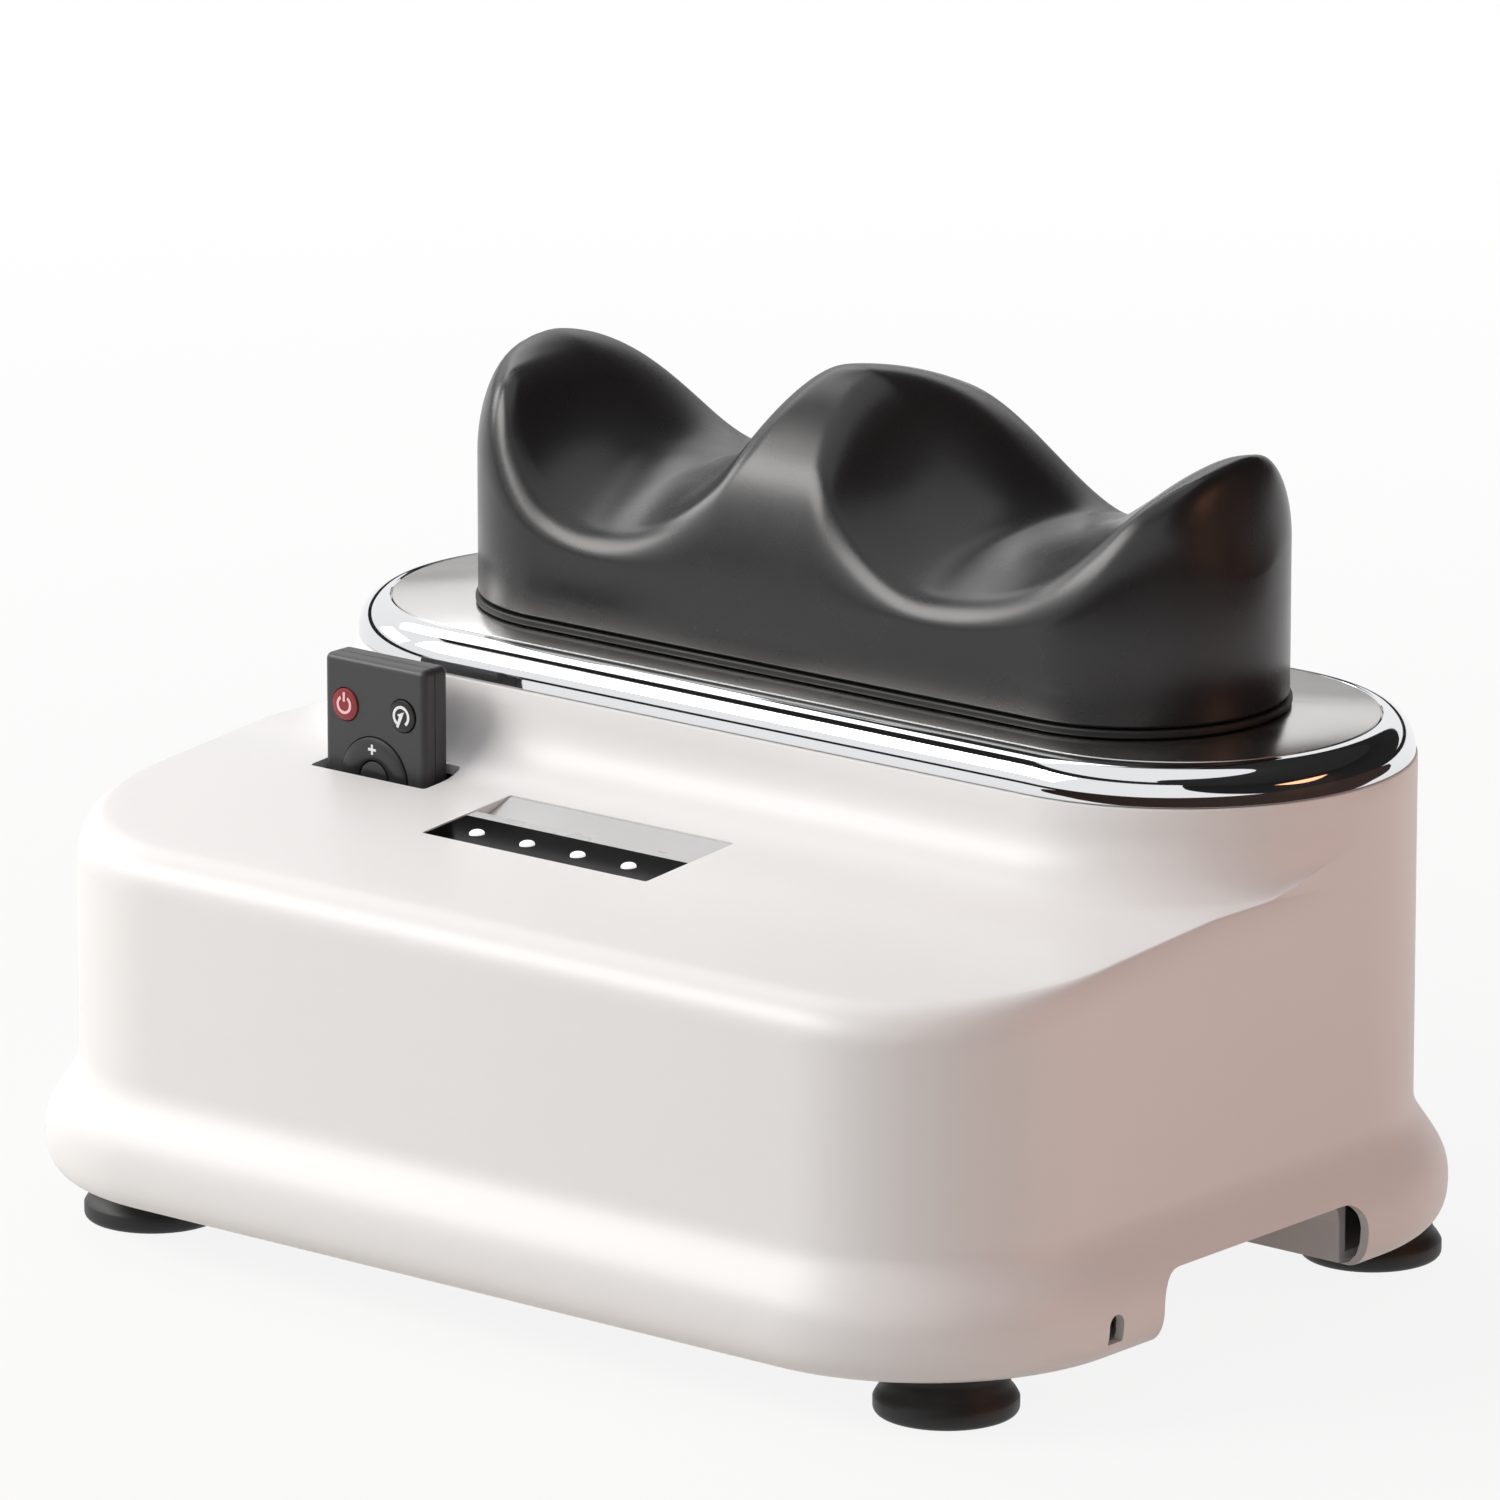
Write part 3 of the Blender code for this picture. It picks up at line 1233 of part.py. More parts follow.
def make_remote():
    half = REMOTE_WIDTH / 2
    left = REMOTE_X - half
    right = REMOTE_X + half
    front = REMOTE_FRONT
    rear = front + REMOTE_THICKNESS
    low = REMOTE_BOTTOM
    top = low + REMOTE_HEIGHT
    split = front + REMOTE["split_depth"]
    wall = REMOTE["wall"]
    wide = OVERRUN
    face = remote_box("remote_case_front", (left, front, low), (right, rear, top), "grey_plastic")
    boolean(face, box("front_keep", (left - wide, split, low - wide), (right + wide, rear + wide, top + wide), None))
    boolean(face, box("front_hollow", (left + wall, front + wall, low + wall), (right - wall, rear, top - wall), None))
    back = remote_box("remote_case_back", (left, front, low), (right, rear, top), "grey_plastic")
    boolean(back, box("back_keep", (left - wide, front - wide, low - wide),
                      (right + wide, split + GAP, top + wide), None))
    boolean(back, box("back_hollow", (left + wall, front, low + wall), (right - wall, rear - wall, top - wall), None))
    door_low = (REMOTE_X - REMOTE["door_half_width"], low + REMOTE["door_low"])
    door_high = (REMOTE_X + REMOTE["door_half_width"], low + REMOTE["door_high"])
    loop = rounded_loop(door_low, door_high, REMOTE["door_corner"])
    turned_front = Matrix.Translation((0, rear, 0)) @ FACING_FRONT
    boolean(back, plate("door_cut", [loop], -OVERRUN, wall + OVERRUN, None, turned_front))
    small = rounded_loop([v + GAP for v in door_low], [v - GAP for v in door_high], REMOTE["door_corner"] - GAP)
    plate("remote_battery_door", [small], 0, wall - GAP, "grey_plastic", turned_front)
    for name, (x, z, radius, bore, flange, finish) in key_places().items():
        if bore > 0 or flange > 0:
            boolean(face, key_hole(name + "_hole", x, z, radius + GAP))
        steps = 32 if bore > 0 else 20
        turned(name, key_profile(radius, bore, flange), (x, front, z), finish, steps, "Y")
    board_front = front + wall + GAP + REMOTE["flange_height"] + REMOTE["key_travel"] + REMOTE["board_gap"]
    inset = wall + GAP
    board_rear = board_front + REMOTE["board_thickness"]
    box("remote_board", (left + inset, board_front, low + inset), (right - inset, board_rear, top - inset),
        "board_green")
    door_middle = low + (REMOTE["door_low"] + REMOTE["door_high"]) / 2
    cylinder("coin_cell", REMOTE["cell_radius"], (REMOTE_X, board_rear + GAP, door_middle), REMOTE["cell_height"],
             "steel", 24, "Y")


def ride(names, where):
    # Pieces modelled about their own axis hang from an empty that stands on it
    axis = bpy.data.objects.new(names[0] + "_axis", None)
    PARTS.objects.link(axis)
    axis.location = where
    for name in names:
        bpy.data.objects[name].parent = axis


make_housing()
make_trim_ring()
make_top_plate()
make_base_pan()
make_feet()
make_display()
make_holster()
make_motor()
make_pulleys()
make_belt()
make_bearings()
make_rails()
make_carriage()
make_electronics()
make_footrest()
make_remote()
ride(["crank_pulley", "crank_shaft", "crank_pin", "crank_roller", "pin_hole", "pin_collar"], (0, TOWER_Y, 0))
ride(["motor_pulley", "motor_shaft"], (MOTOR_X, TOWER_Y, 0))
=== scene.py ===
# Chi machine: gloss housing, chrome-ringed tower, sliding ankle rest and a remote in its slot
from math import pi, sin, cos, atan, radians

import bpy
import bmesh
from mathutils import Vector, Matrix, Euler


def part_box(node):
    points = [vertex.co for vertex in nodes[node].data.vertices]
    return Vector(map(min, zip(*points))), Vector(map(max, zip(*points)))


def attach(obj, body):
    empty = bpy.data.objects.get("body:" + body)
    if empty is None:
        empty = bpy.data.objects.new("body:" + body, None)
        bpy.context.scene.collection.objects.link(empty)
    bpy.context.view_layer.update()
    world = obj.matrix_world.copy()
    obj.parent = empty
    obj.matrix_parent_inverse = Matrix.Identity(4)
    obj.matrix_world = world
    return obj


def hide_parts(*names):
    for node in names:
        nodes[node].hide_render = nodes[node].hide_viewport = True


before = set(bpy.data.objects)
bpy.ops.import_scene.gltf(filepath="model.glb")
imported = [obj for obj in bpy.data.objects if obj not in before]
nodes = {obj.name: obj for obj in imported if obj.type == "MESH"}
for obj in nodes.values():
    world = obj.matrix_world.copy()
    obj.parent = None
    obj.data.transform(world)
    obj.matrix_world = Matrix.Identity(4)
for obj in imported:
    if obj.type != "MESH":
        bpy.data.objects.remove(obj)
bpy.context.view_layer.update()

print("frame loaded:", len(nodes), "nodes")


# Colours and materials

def linear(hexCode):
    parts = [int(hexCode[k:k + 2], 16) / 255 for k in (1, 3, 5)]
    return [c / 12.92 if c <= 0.04045 else ((c + 0.055) / 1.055) ** 2.4 for c in parts] + [1.0]


plasticIor = 1.5


def newMaterial(name, colour, roughness, metallic=0.0):
    made = bpy.data.materials.new(name)
    made.use_nodes = True
    shader = made.node_tree.nodes["Principled BSDF"]
    shader.inputs["Base Color"].default_value = linear(colour)
    shader.inputs["Roughness"].default_value = roughness
    shader.inputs["Metallic"].default_value = metallic
    shader.inputs["IOR"].default_value = plasticIor
    return made, made.node_tree, shader


def addNode(tree, kind, settings=None, values=None, links=None):
    # values and links are both keyed by the input's name or number
    made = tree.nodes.new(kind)
    for key, value in (settings or {}).items():
        setattr(made, key, value)
    for key, value in (values or {}).items():
        made.inputs[key].default_value = value
    for key, source in (links or {}).items():
        tree.links.new(source, made.inputs[key])
    return made


def setSocket(material, socket, value):
    material.node_tree.nodes["Principled BSDF"].inputs[socket].default_value = value


def dress(names, material):
    for name in names:
        item = nodes[name]
        item.data.materials.clear()
        item.data.materials.append(material)


# Camera, lights and floor

cameraView = {
    "target": (-0.01114, 0.0133, 0.15184),
    "elevation": 14.6,
    "azimuth": 39.66,
    "distance": 4.0,
    "lens": 311.04,
    "sensor": 36.0,
}


def makeCamera():
    turn = Euler((radians(90 - cameraView["elevation"]), 0, radians(cameraView["azimuth"])), "XYZ")
    lens = bpy.data.cameras.new("camera")
    lens.sensor_width = cameraView["sensor"]
    lens.lens = cameraView["lens"]
    lens.clip_end = 60
    item = bpy.data.objects.new("camera", lens)
    item.rotation_euler = turn
    item.location = Vector(cameraView["target"]) + turn.to_matrix() @ Vector((0, 0, cameraView["distance"]))
    bpy.context.scene.collection.objects.link(item)
    bpy.context.scene.camera = item


studio = {
    "worldStrength": 0.30,
    "worldColour": "#F6F8FF",
    "lamps": {
        # name: place, aimed at, width and height, watts, colour
        "key": ((-1.9, -2.0, 2.1), (0, 0, 0.12), (2.4, 1.3), 80, "#FFFDFA"),
        "top": ((-1.7, 0.8, 2.2), (0, 0, 0.12), (1.9, 1.6), 20, "#FFFFFF"),
        "left": ((-3.0, -0.35, 1.2), (0, 0, 0.14), (1.2, 0.7), 13, "#FFFFFF"),
        "warmFill": ((2.2, 0.6, 0.7), (0.1, 0, 0.1), (1.2, 1.2), 10, "#FFB188"),
    },
    # Dark cloths that only reflections see: they draw the fine lines in the chrome and deepen the scoops
    "flags": {
        # name: radius, azimuths from +X, heights, colour
        "lowBand": (3.0, (-180, 180), (0.36, 0.62), "#0A0A0A"),
        "highBand": (2.4, (-180, 180), (2.65, 3.5), "#0A0A0A"),
        "rightWall": (2.2, (-45, 121), (0.3, 3.9), "#0A0908"),
        "ceiling": (1.6, (-60, 165), (1.12, 4.2), "#0A0908"),
        "warmTable": (0.75, (-110, 60), (0, 0.28), "#2C1B14"),
    },
    "flagSteps": 128,
    "flagTaper": 0.35,
    "floorSize": 12.0,
    "floorGlow": 0.88,
    "fadeStart": 0.45,
    "fadeEnd": 1.6,
}


def aim(item, place, target):
    item.location = place
    item.rotation_euler = (Vector(target) - Vector(place)).to_track_quat("-Z", "Y").to_euler()


def seenDirectly(tree):
    # 1 for what the camera sees, also in a mirror or through glass, and 0 for the light on the object
    path = addNode(tree, "ShaderNodeLightPath")
    seen = addNode(tree, "ShaderNodeMath", {"operation": "MAXIMUM"},
                   links={0: path.outputs["Is Camera Ray"], 1: path.outputs["Is Glossy Ray"]})
    return addNode(tree, "ShaderNodeMath", {"operation": "MAXIMUM"},
                   links={0: seen.outputs[0], 1: path.outputs["Is Transmission Ray"]})


def makeWorld():
    scene = bpy.context.scene
    scene.view_settings.view_transform = "Standard"
    world = bpy.data.worlds.new("studio")
    scene.world = world
    world.use_nodes = True
    tree = world.node_tree
    tree.nodes.clear()
    seen = seenDirectly(tree)
    light = addNode(tree, "ShaderNodeBackground",
                    values={"Color": linear(studio["worldColour"]), "Strength": studio["worldStrength"]})
    white = addNode(tree, "ShaderNodeBackground", values={"Color": linear("#FFFFFF"), "Strength": 1.0})
    mix = addNode(tree, "ShaderNodeMixShader",
                  links={0: seen.outputs[0], 1: light.outputs[0], 2: white.outputs[0]})
    addNode(tree, "ShaderNodeOutputWorld", links={0: mix.outputs[0]})


def makeLamps():
    for name, (place, target, size, watts, colour) in studio["lamps"].items():
        lamp = bpy.data.lights.new(name, "AREA")
        lamp.shape = "RECTANGLE"
        lamp.size, lamp.size_y = size
        lamp.energy = watts
        lamp.color = linear(colour)[:3]
        item = bpy.data.objects.new(name, lamp)
        bpy.context.scene.collection.objects.link(item)
        aim(item, place, target)


def stageObject(name, work, material):
    mesh = bpy.data.meshes.new(name)
    work.to_mesh(mesh)
    work.free()
    mesh.materials.append(material)
    item = bpy.data.objects.new(name, mesh)
    bpy.context.scene.collection.objects.link(item)
    return item


def makeFloor():
    work = bmesh.new()
    bmesh.ops.create_grid(work, x_segments=1, y_segments=1, size=studio["floorSize"] / 2)
    floor = stageObject("floor", work, floorMaterial())


def makeFlags():
    steps = studio["flagSteps"]
    for name, (radius, azimuths, heights, colour) in studio["flags"].items():
        work = bmesh.new()
        bmesh.ops.create_grid(work, x_segments=steps, y_segments=1, size=1)
        middle, spread = (heights[0] + heights[1]) / 2, (heights[1] - heights[0]) / 2
        sweep = azimuths[1] - azimuths[0]
        for vert in work.verts:
            along = round((vert.co.x + 1) / 2 * steps) / steps
            turn = radians(azimuths[0] + sweep * along)
            # The cloth narrows to a point at both ends, unless it goes all the way round
            half = spread if sweep == 360 else spread * sin(pi * along) ** studio["flagTaper"]
            vert.co = (radius * cos(turn), radius * sin(turn), middle + vert.co.y * half)
        bmesh.ops.remove_doubles(work, verts=work.verts, dist=0.0001)
        flag = stageObject(name, work, newMaterial(name, colour, 0.9)[0])
        flag.visible_camera = False
        flag.visible_diffuse = False
        flag.visible_shadow = False
        flag.visible_transmission = False


def floorMaterial():
    # Matt white paper: the eye sees plain white with the object's soft shadow, which fades out far away
    made, tree, shader = newMaterial("studioPaper", "#D6D2CE", 0.9)
    output = tree.nodes["Material Output"]
    seen = seenDirectly(tree)
    place = addNode(tree, "ShaderNodeTexCoord")
    reach = addNode(tree, "ShaderNodeVectorMath", {"operation": "LENGTH"},
                    links={0: place.outputs["Object"]})
    fade = addNode(tree, "ShaderNodeMapRange",
                   values={"From Min": studio["fadeStart"], "From Max": studio["fadeEnd"],
                           "To Min": studio["floorGlow"], "To Max": 1.0},
                   links={"Value": reach.outputs["Value"]})
    share = addNode(tree, "ShaderNodeMath", {"operation": "MULTIPLY"},
                    links={0: seen.outputs[0], 1: fade.outputs["Result"]})
    glow = addNode(tree, "ShaderNodeEmission", values={"Color": linear("#FFFFFF"), "Strength": 1.0})
    mix = addNode(tree, "ShaderNodeMixShader",
                  links={0: share.outputs[0], 1: shader.outputs[0], 2: glow.outputs[0]})
    tree.links.new(mix.outputs[0], output.inputs["Surface"])
    return made


makeCamera()
makeWorld()
makeLamps()
makeFloor()
makeFlags()
print("camera and studio ready")


# Materials of the parts

surface = {
    "swellScale": 22.0,  # scales count per metre
    "swellStrength": 0.05,
    "swellDepth": 0.002,
    "patchScale": 45.0,
    "patchLow": 0.3,
    "patchHigh": 0.7,
    "trackScale": 400.0,
    "trackLow": 0.30,
    "trackHigh": 0.34,
}


def mouldedWhite():
    # White ABS moulding: broad, blurred reflections, with a faint swell from the mould
    made, tree, shader = newMaterial("mouldedAbsWhite", "#F0EEEC", 0.40)
    place = addNode(tree, "ShaderNodeTexCoord")
    swell = addNode(tree, "ShaderNodeTexNoise", values={"Scale": surface["swellScale"], "Detail": 1.0},
                    links={"Vector": place.outputs["Object"]})
    bump = addNode(tree, "ShaderNodeBump",
                   values={"Strength": surface["swellStrength"], "Distance": surface["swellDepth"]},
                   links={"Height": swell.outputs["Fac"]})
    tree.links.new(bump.outputs["Normal"], shader.inputs["Normal"])
    return made


def grained(name, colour, roughness, metallic, grain, depth, spread, stretch=(1, 1, 1)):
    # A fine grain in real millimetres, and a gloss that wanders a little over some centimetres
    made, tree, shader = newMaterial(name, colour, roughness, metallic)
    place = addNode(tree, "ShaderNodeTexCoord")
    drawn = addNode(tree, "ShaderNodeMapping", values={"Scale": stretch},
                    links={"Vector": place.outputs["Object"]})
    fine = addNode(tree, "ShaderNodeTexNoise", values={"Scale": 1 / grain, "Detail": 2.0},
                   links={"Vector": drawn.outputs["Vector"]})
    bump = addNode(tree, "ShaderNodeBump", values={"Strength": 1.0, "Distance": depth},
                   links={"Height": fine.outputs["Fac"]})
    tree.links.new(bump.outputs["Normal"], shader.inputs["Normal"])
    wide = addNode(tree, "ShaderNodeTexNoise", values={"Scale": surface["patchScale"], "Detail": 3.0},
                   links={"Vector": drawn.outputs["Vector"]})
    gloss = addNode(tree, "ShaderNodeMapRange",
                    values={"From Min": surface["patchLow"], "From Max": surface["patchHigh"],
                            "To Min": roughness - spread, "To Max": roughness + spread},
                    links={"Value": wide.outputs["Fac"]})
    tree.links.new(gloss.outputs["Result"], shader.inputs["Roughness"])
    return made


def circuitBoard():
    # Green solder mask over copper tracks, whose cells are 2.5 mm wide on average
    made = grained("solderMaskGreen", "#1E5A36", 0.4, 0.0, 0.0012, 0.00002, 0.05)
    tree = made.node_tree
    place = addNode(tree, "ShaderNodeTexCoord")
    cells = addNode(tree, "ShaderNodeTexVoronoi", {"distance": "CHEBYCHEV", "feature": "F1"},
                    {"Scale": surface["trackScale"]}, {"Vector": place.outputs["Object"]})
    track = addNode(tree, "ShaderNodeMapRange",
                    values={"From Min": surface["trackLow"], "From Max": surface["trackHigh"]},
                    links={"Value": cells.outputs["Distance"]})
    colour = addNode(tree, "ShaderNodeMix", {"data_type": "RGBA"},
                     {6: linear("#2C7A48"), 7: linear("#184A2C")}, {0: track.outputs["Result"]})
    tree.links.new(colour.outputs[2], tree.nodes["Principled BSDF"].inputs["Base Color"])
    return made


whiteAbs = mouldedWhite()
# name, colour, roughness, metallic, grain size, grain depth, spread of the roughness, stretch of the grain
chromedAbs = grained("chromedAbs", "#E4E5E7", 0.04, 1.0, 0.02, 0.00001, 0.015)
satinPlate = grained("satinAluminium", "#D3D1CF", 0.22, 1.0, 0.0004, 0.000002, 0.02, (0.02, 1, 1))
mouldedRubber = grained("mouldedRubber", "#141414", 0.5, 0.0, 0.0006, 0.00002, 0.05)
steel = grained("turnedSteel", "#B9BBBE", 0.3, 1.0, 0.0005, 0.000003, 0.06, (1, 1, 6))
bronze = grained("sinteredBronze", "#B48A52", 0.42, 1.0, 0.0003, 0.00001, 0.06)
texturedAbs = grained("texturedAbsDark", "#3A3A3C", 0.42, 0.0, 0.0005, 0.00001, 0.04)
satinBlack = grained("satinAbsBlack", "#0C0C0D", 0.5, 0.0, 0.0005, 0.00001, 0.05)
board = circuitBoard()
smokedAcrylic = grained("smokedAcrylic", "#0A0A0B", 0.12, 0.0, 0.02, 0.000005, 0.02)
# The window hardly mirrors, so that it stays black under the bright studio
setSocket(smokedAcrylic, "Specular IOR Level", 0.005)
satinGrey = grained("satinAbsGrey", "#C4C4C4", 0.3, 0.0, 0.0008, 0.000005, 0.04)
milkyAcrylic = grained("milkyAcrylic", "#F2F5F7", 0.25, 0.0, 0.002, 0.000005, 0.03)
setSocket(milkyAcrylic, "Emission Color", linear("#FFFFFF"))
setSocket(milkyAcrylic, "Emission Strength", 0.6)
skinFoam = grained("integralSkinFoam", "#252425", 0.28, 0.0, 0.0009, 0.000012, 0.025)
litKey = grained("litKeyRed", "#8C2A30", 0.3, 0.0, 0.0006, 0.000005, 0.03)
blackKey = grained("keyBlack", "#151516", 0.3, 0.0, 0.0006, 0.000005, 0.03)
navKey = grained("keyCharcoal", "#2E2E30", 0.3, 0.0, 0.0006, 0.000005, 0.03)
litMark = grained("litMark", "#FFC9CC", 0.3, 0.0, 0.0006, 0.000002, 0.03)
printedWhite = grained("printedWhite", "#F4F4F4", 0.4, 0.0, 0.0004, 0.000004, 0.05)
dress(["base_pan"], whiteAbs)
dress(["drive_belt"], mouldedRubber)
dress([name for name in nodes if name.startswith("foot_screw")], steel)
dress(["motor_can", "motor_bracket", "motor_shaft", "crank_shaft", "crank_pin", "bearing_housing",
       "lower_bearing", "upper_bearing", "guide_rail_front", "guide_rail_rear", "rail_bridge_left",
       "rail_bridge_right", "coin_cell"], steel)
dress(["crank_roller"] + [name for name in nodes if name.startswith("slide_bush")], bronze)
dress(["carriage", "crank_pulley", "motor_pulley", "transformer"], texturedAbs)
dress(["remote_holster"], satinBlack)
dress(["display_board", "control_board", "remote_board"], board)
print("materials ready")


# Small helpers that every piece shares

weld = 0.00001


def newObject(name, work, sharp=35):
    mesh = bpy.data.meshes.new(name)
    work.to_mesh(mesh)
    work.free()
    item = bpy.data.objects.new(name, mesh)
    bpy.context.scene.collection.objects.link(item)
    mesh.shade_smooth()
    mesh.set_sharp_from_angle(angle=radians(sharp))
    return item


def applyModifiers(item, sharp=35):
    graph = bpy.context.evaluated_depsgraph_get()
    mesh = bpy.data.meshes.new_from_object(item.evaluated_get(graph))
    item.modifiers.clear()
    item.data = mesh
    mesh.shade_smooth()
    mesh.set_sharp_from_angle(angle=radians(sharp))


def combine(item, others, operation="DIFFERENCE", sharp=35):
    for other in others:
        step = item.modifiers.new(other.name, "BOOLEAN")
        step.operation = operation
        step.solver = "EXACT"
        step.object = other
    applyModifiers(item, sharp)
    for other in others:
        bpy.data.objects.remove(other, do_unlink=True)
    return item


def evenNormals(item):
    # Big faces set the shading, so a bevel doesn't bend it
    step = item.modifiers.new("evenNormals", "WEIGHTED_NORMAL")
    step.keep_sharp = True


def finishPiece(item, material, body, stands=()):
    item.data.materials.clear()
    item.data.materials.append(material)
    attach(item, body)
    for node in stands:
        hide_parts(node)
    return item


def wrapGrid(rings, closed):
    # A grid laid through rings of equal counts, joined round and, when closed, last to first
    work = bmesh.new()
    count = len(rings[0])
    rows = len(rings) if closed else len(rings) - 1
    bmesh.ops.create_grid(work, x_segments=count, y_segments=rows, size=1)
    for vert in work.verts:
        column = round((vert.co.x + 1) / 2 * count)
        row = round((vert.co.y + 1) / 2 * rows)
        vert.co = rings[row % len(rings)][column % count]
    bmesh.ops.remove_doubles(work, verts=work.verts, dist=weld)
    if not closed:
        bmesh.ops.holes_fill(work, edges=work.edges, sides=0)
    bmesh.ops.recalc_face_normals(work, faces=work.faces)
    return work


def spunShape(profile, segments):
    # Profile of (radius, height) pairs turned round Z
    work = bmesh.new()
    verts = [work.verts.new((radius, 0, height)) for radius, height in profile]
    if profile[0][0] > 0:
        verts.append(verts[0])
    edges = [work.edges.new(pair) for pair in zip(verts[:-1], verts[1:])]
    bmesh.ops.spin(work, geom=work.verts[:] + edges, cent=(0, 0, 0), axis=(0, 0, 1), angle=2 * pi,
                   steps=segments, use_merge=True)
    bmesh.ops.remove_doubles(work, verts=work.verts, dist=weld)
    bmesh.ops.recalc_face_normals(work, faces=work.faces)
    return work


def slab(loops, low, high, bevel=0.0, segments=2):
    # A flat plate from outlines in XY, the first one outside and the rest holes
    work = bmesh.new()
    edges = []
    for loop in loops:
        verts = [work.verts.new((x, y, low)) for x, y in loop]
        edges += [work.edges.new(pair) for pair in zip(verts, verts[1:] + verts[:1])]
    bmesh.ops.triangle_fill(work, edges=edges, use_beauty=True)
    raised = bmesh.ops.extrude_face_region(work, geom=work.faces[:])
    verts = [part for part in raised["geom"] if isinstance(part, bmesh.types.BMVert)]
    bmesh.ops.translate(work, vec=(0, 0, high - low), verts=verts)
    bmesh.ops.recalc_face_normals(work, faces=work.faces)
    if bevel > 0:
        rim = [edge for edge in work.edges if edge.calc_face_angle(0) > 1.0]
        bmesh.ops.bevel(work, geom=rim, offset=bevel, segments=segments, affect="EDGES", profile=0.5,
                        material=-1)
    return work


def block(low, high, bevel=0.0, segments=4):
    work = bmesh.new()
    bmesh.ops.create_cube(work, size=1)
    bmesh.ops.scale(work, vec=[b - a for a, b in zip(low, high)], verts=work.verts)
    if bevel > 0:
        bmesh.ops.bevel(work, geom=work.edges[:], offset=bevel, segments=segments, affect="EDGES",
                        profile=0.5, material=-1)
    bmesh.ops.translate(work, vec=[(a + b) / 2 for a, b in zip(low, high)], verts=work.verts)
    return work


def moved(work, where):
    bmesh.ops.transform(work, matrix=where, verts=work.verts)
    return work


alongX = Matrix(((0, 0, 1, 0), (1, 0, 0, 0), (0, 1, 0, 0), (0, 0, 0, 1)))


def arcRun(centre, radius, start, end, steps):
    angles = [start + (end - start) * k / steps for k in range(steps)]
    return [Vector((centre[0] + radius * cos(angle), centre[1] + radius * sin(angle))) for angle in angles]


def straightRun(start, end, steps):
    return [Vector(start).lerp(Vector(end), k / steps) for k in range(steps)]


def roundedLoop(low, high, radius, steps=6):
    points = []
    middles = [(high[0] - radius, high[1] - radius), (low[0] + radius, high[1] - radius),
               (low[0] + radius, low[1] + radius), (high[0] - radius, low[1] + radius)]
    for quarter, centre in enumerate(middles):
        start = quarter * pi / 2
        points += arcRun(centre, radius, start, start + pi / 2 * (steps + 1) / steps, steps + 1)
    return points


def stadiumLoop(centre, half, radius, steps=24):
    points = []
    for side, start in ((1, -pi / 2), (-1, pi / 2)):
        middle = (centre[0] + side * (half - radius), centre[1])
        points += arcRun(middle, radius, start, start + pi * (steps + 1) / steps, steps + 1)
    return points


def circleLoop(centre, radius, steps=40):
    return arcRun(centre, radius, 0, 2 * pi, steps)


# The housing: a full skirt, walls, a sloping deck and a stadium-shaped tower in one skin

housing = {
    "frontCorner": 0.062,
    "towerRadius": 0.074,
    "towerRise": 0.026,
    "deckFall": 0.010,
    "deckEdge": 0.012,
    "deckFillet": 0.020,
    "blendWidth": 0.040,
    "skirtFoot": 0.003,
    "skirtBulge": 0.011,
    "footPower": 2.6,
    "shoulderPower": 1.15,
    "bellyRise": 0.013,
    "shoulderRise": 0.026,
    "wall": 0.003,
    "lipWidth": 0.016,
    "lipThickness": 0.004,
    "rounding": 0.0006,
    "notch": (-0.0505, 0.0500),
    "notchRise": 0.022,
    "notchCorner": 0.0095,
    "outletPlace": -0.0735,
    "outletWidth": 0.0068,
    "outletHeight": 0.0090,
    "outletRise": 0.0060,
    "outletDepth": 0.006,
    "notchPast": 0.006,
    "windowDepth": 0.007,
    "slotDepth": 0.014,
    "cutPast": 0.004,
}
stationCounts = {"rearArc": 30, "rearRun": 24, "side": 26, "corner": 28, "frontRun": 40}
# Rings up the skirt, then steps over the deck's edge, along the deck and up the fillet
ringCounts = {"outerSkirt": 12, "outerDeck": (10, 12, 12), "innerSkirt": 4, "innerDeck": (4, 3, 5)}
gap = 0.0003
housingLow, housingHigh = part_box("upper_housing")
halfWidth = housingHigh[0] - housing["skirtBulge"]
halfDepth = -housingLow[1] - housing["skirtBulge"]
skirtBottom = housingLow[2]
towerTop = housingHigh[2]
towerY = halfDepth - housing["towerRadius"]
towerFront = towerY - housing["towerRadius"]
deckBack = towerTop - housing["towerRise"]
deckSlope = housing["deckFall"] / (towerFront + halfDepth)


def deckHeight(y):
    return deckBack - housing["deckFall"] + deckSlope * (min(y, towerFront) + halfDepth)


def deckPlace(x, y):
    # Axes that lie in the deck's surface
    return Matrix.Translation((x, y, deckHeight(y))) @ Matrix.Rotation(atan(deckSlope), 4, "X")


def rearRuns(inset):
    middle = halfWidth - housing["towerRadius"]
    radius = housing["towerRadius"] - inset
    rear = halfDepth - inset
    points = arcRun((middle, towerY), radius, 0, pi / 2, stationCounts["rearArc"])
    points += straightRun((middle, rear), (-middle, rear), stationCounts["rearRun"])
    points += arcRun((-middle, towerY), radius, pi / 2, pi, stationCounts["rearArc"])
    return points


def wallPlan(inset):
    side = halfWidth - inset
    front = inset - halfDepth
    middle = halfWidth - housing["frontCorner"]
    depth = housing["frontCorner"] - halfDepth
    radius = housing["frontCorner"] - inset
    points = rearRuns(inset)
    points += straightRun((-side, towerY), (-side, depth), stationCounts["side"])
    points += arcRun((-middle, depth), radius, pi, 1.5 * pi, stationCounts["corner"])
    points += straightRun((-middle, front), (middle, front), stationCounts["frontRun"])
    points += arcRun((middle, depth), radius, 1.5 * pi, 2 * pi, stationCounts["corner"])
    points += straightRun((side, depth), (side, towerY), stationCounts["side"])
    return points


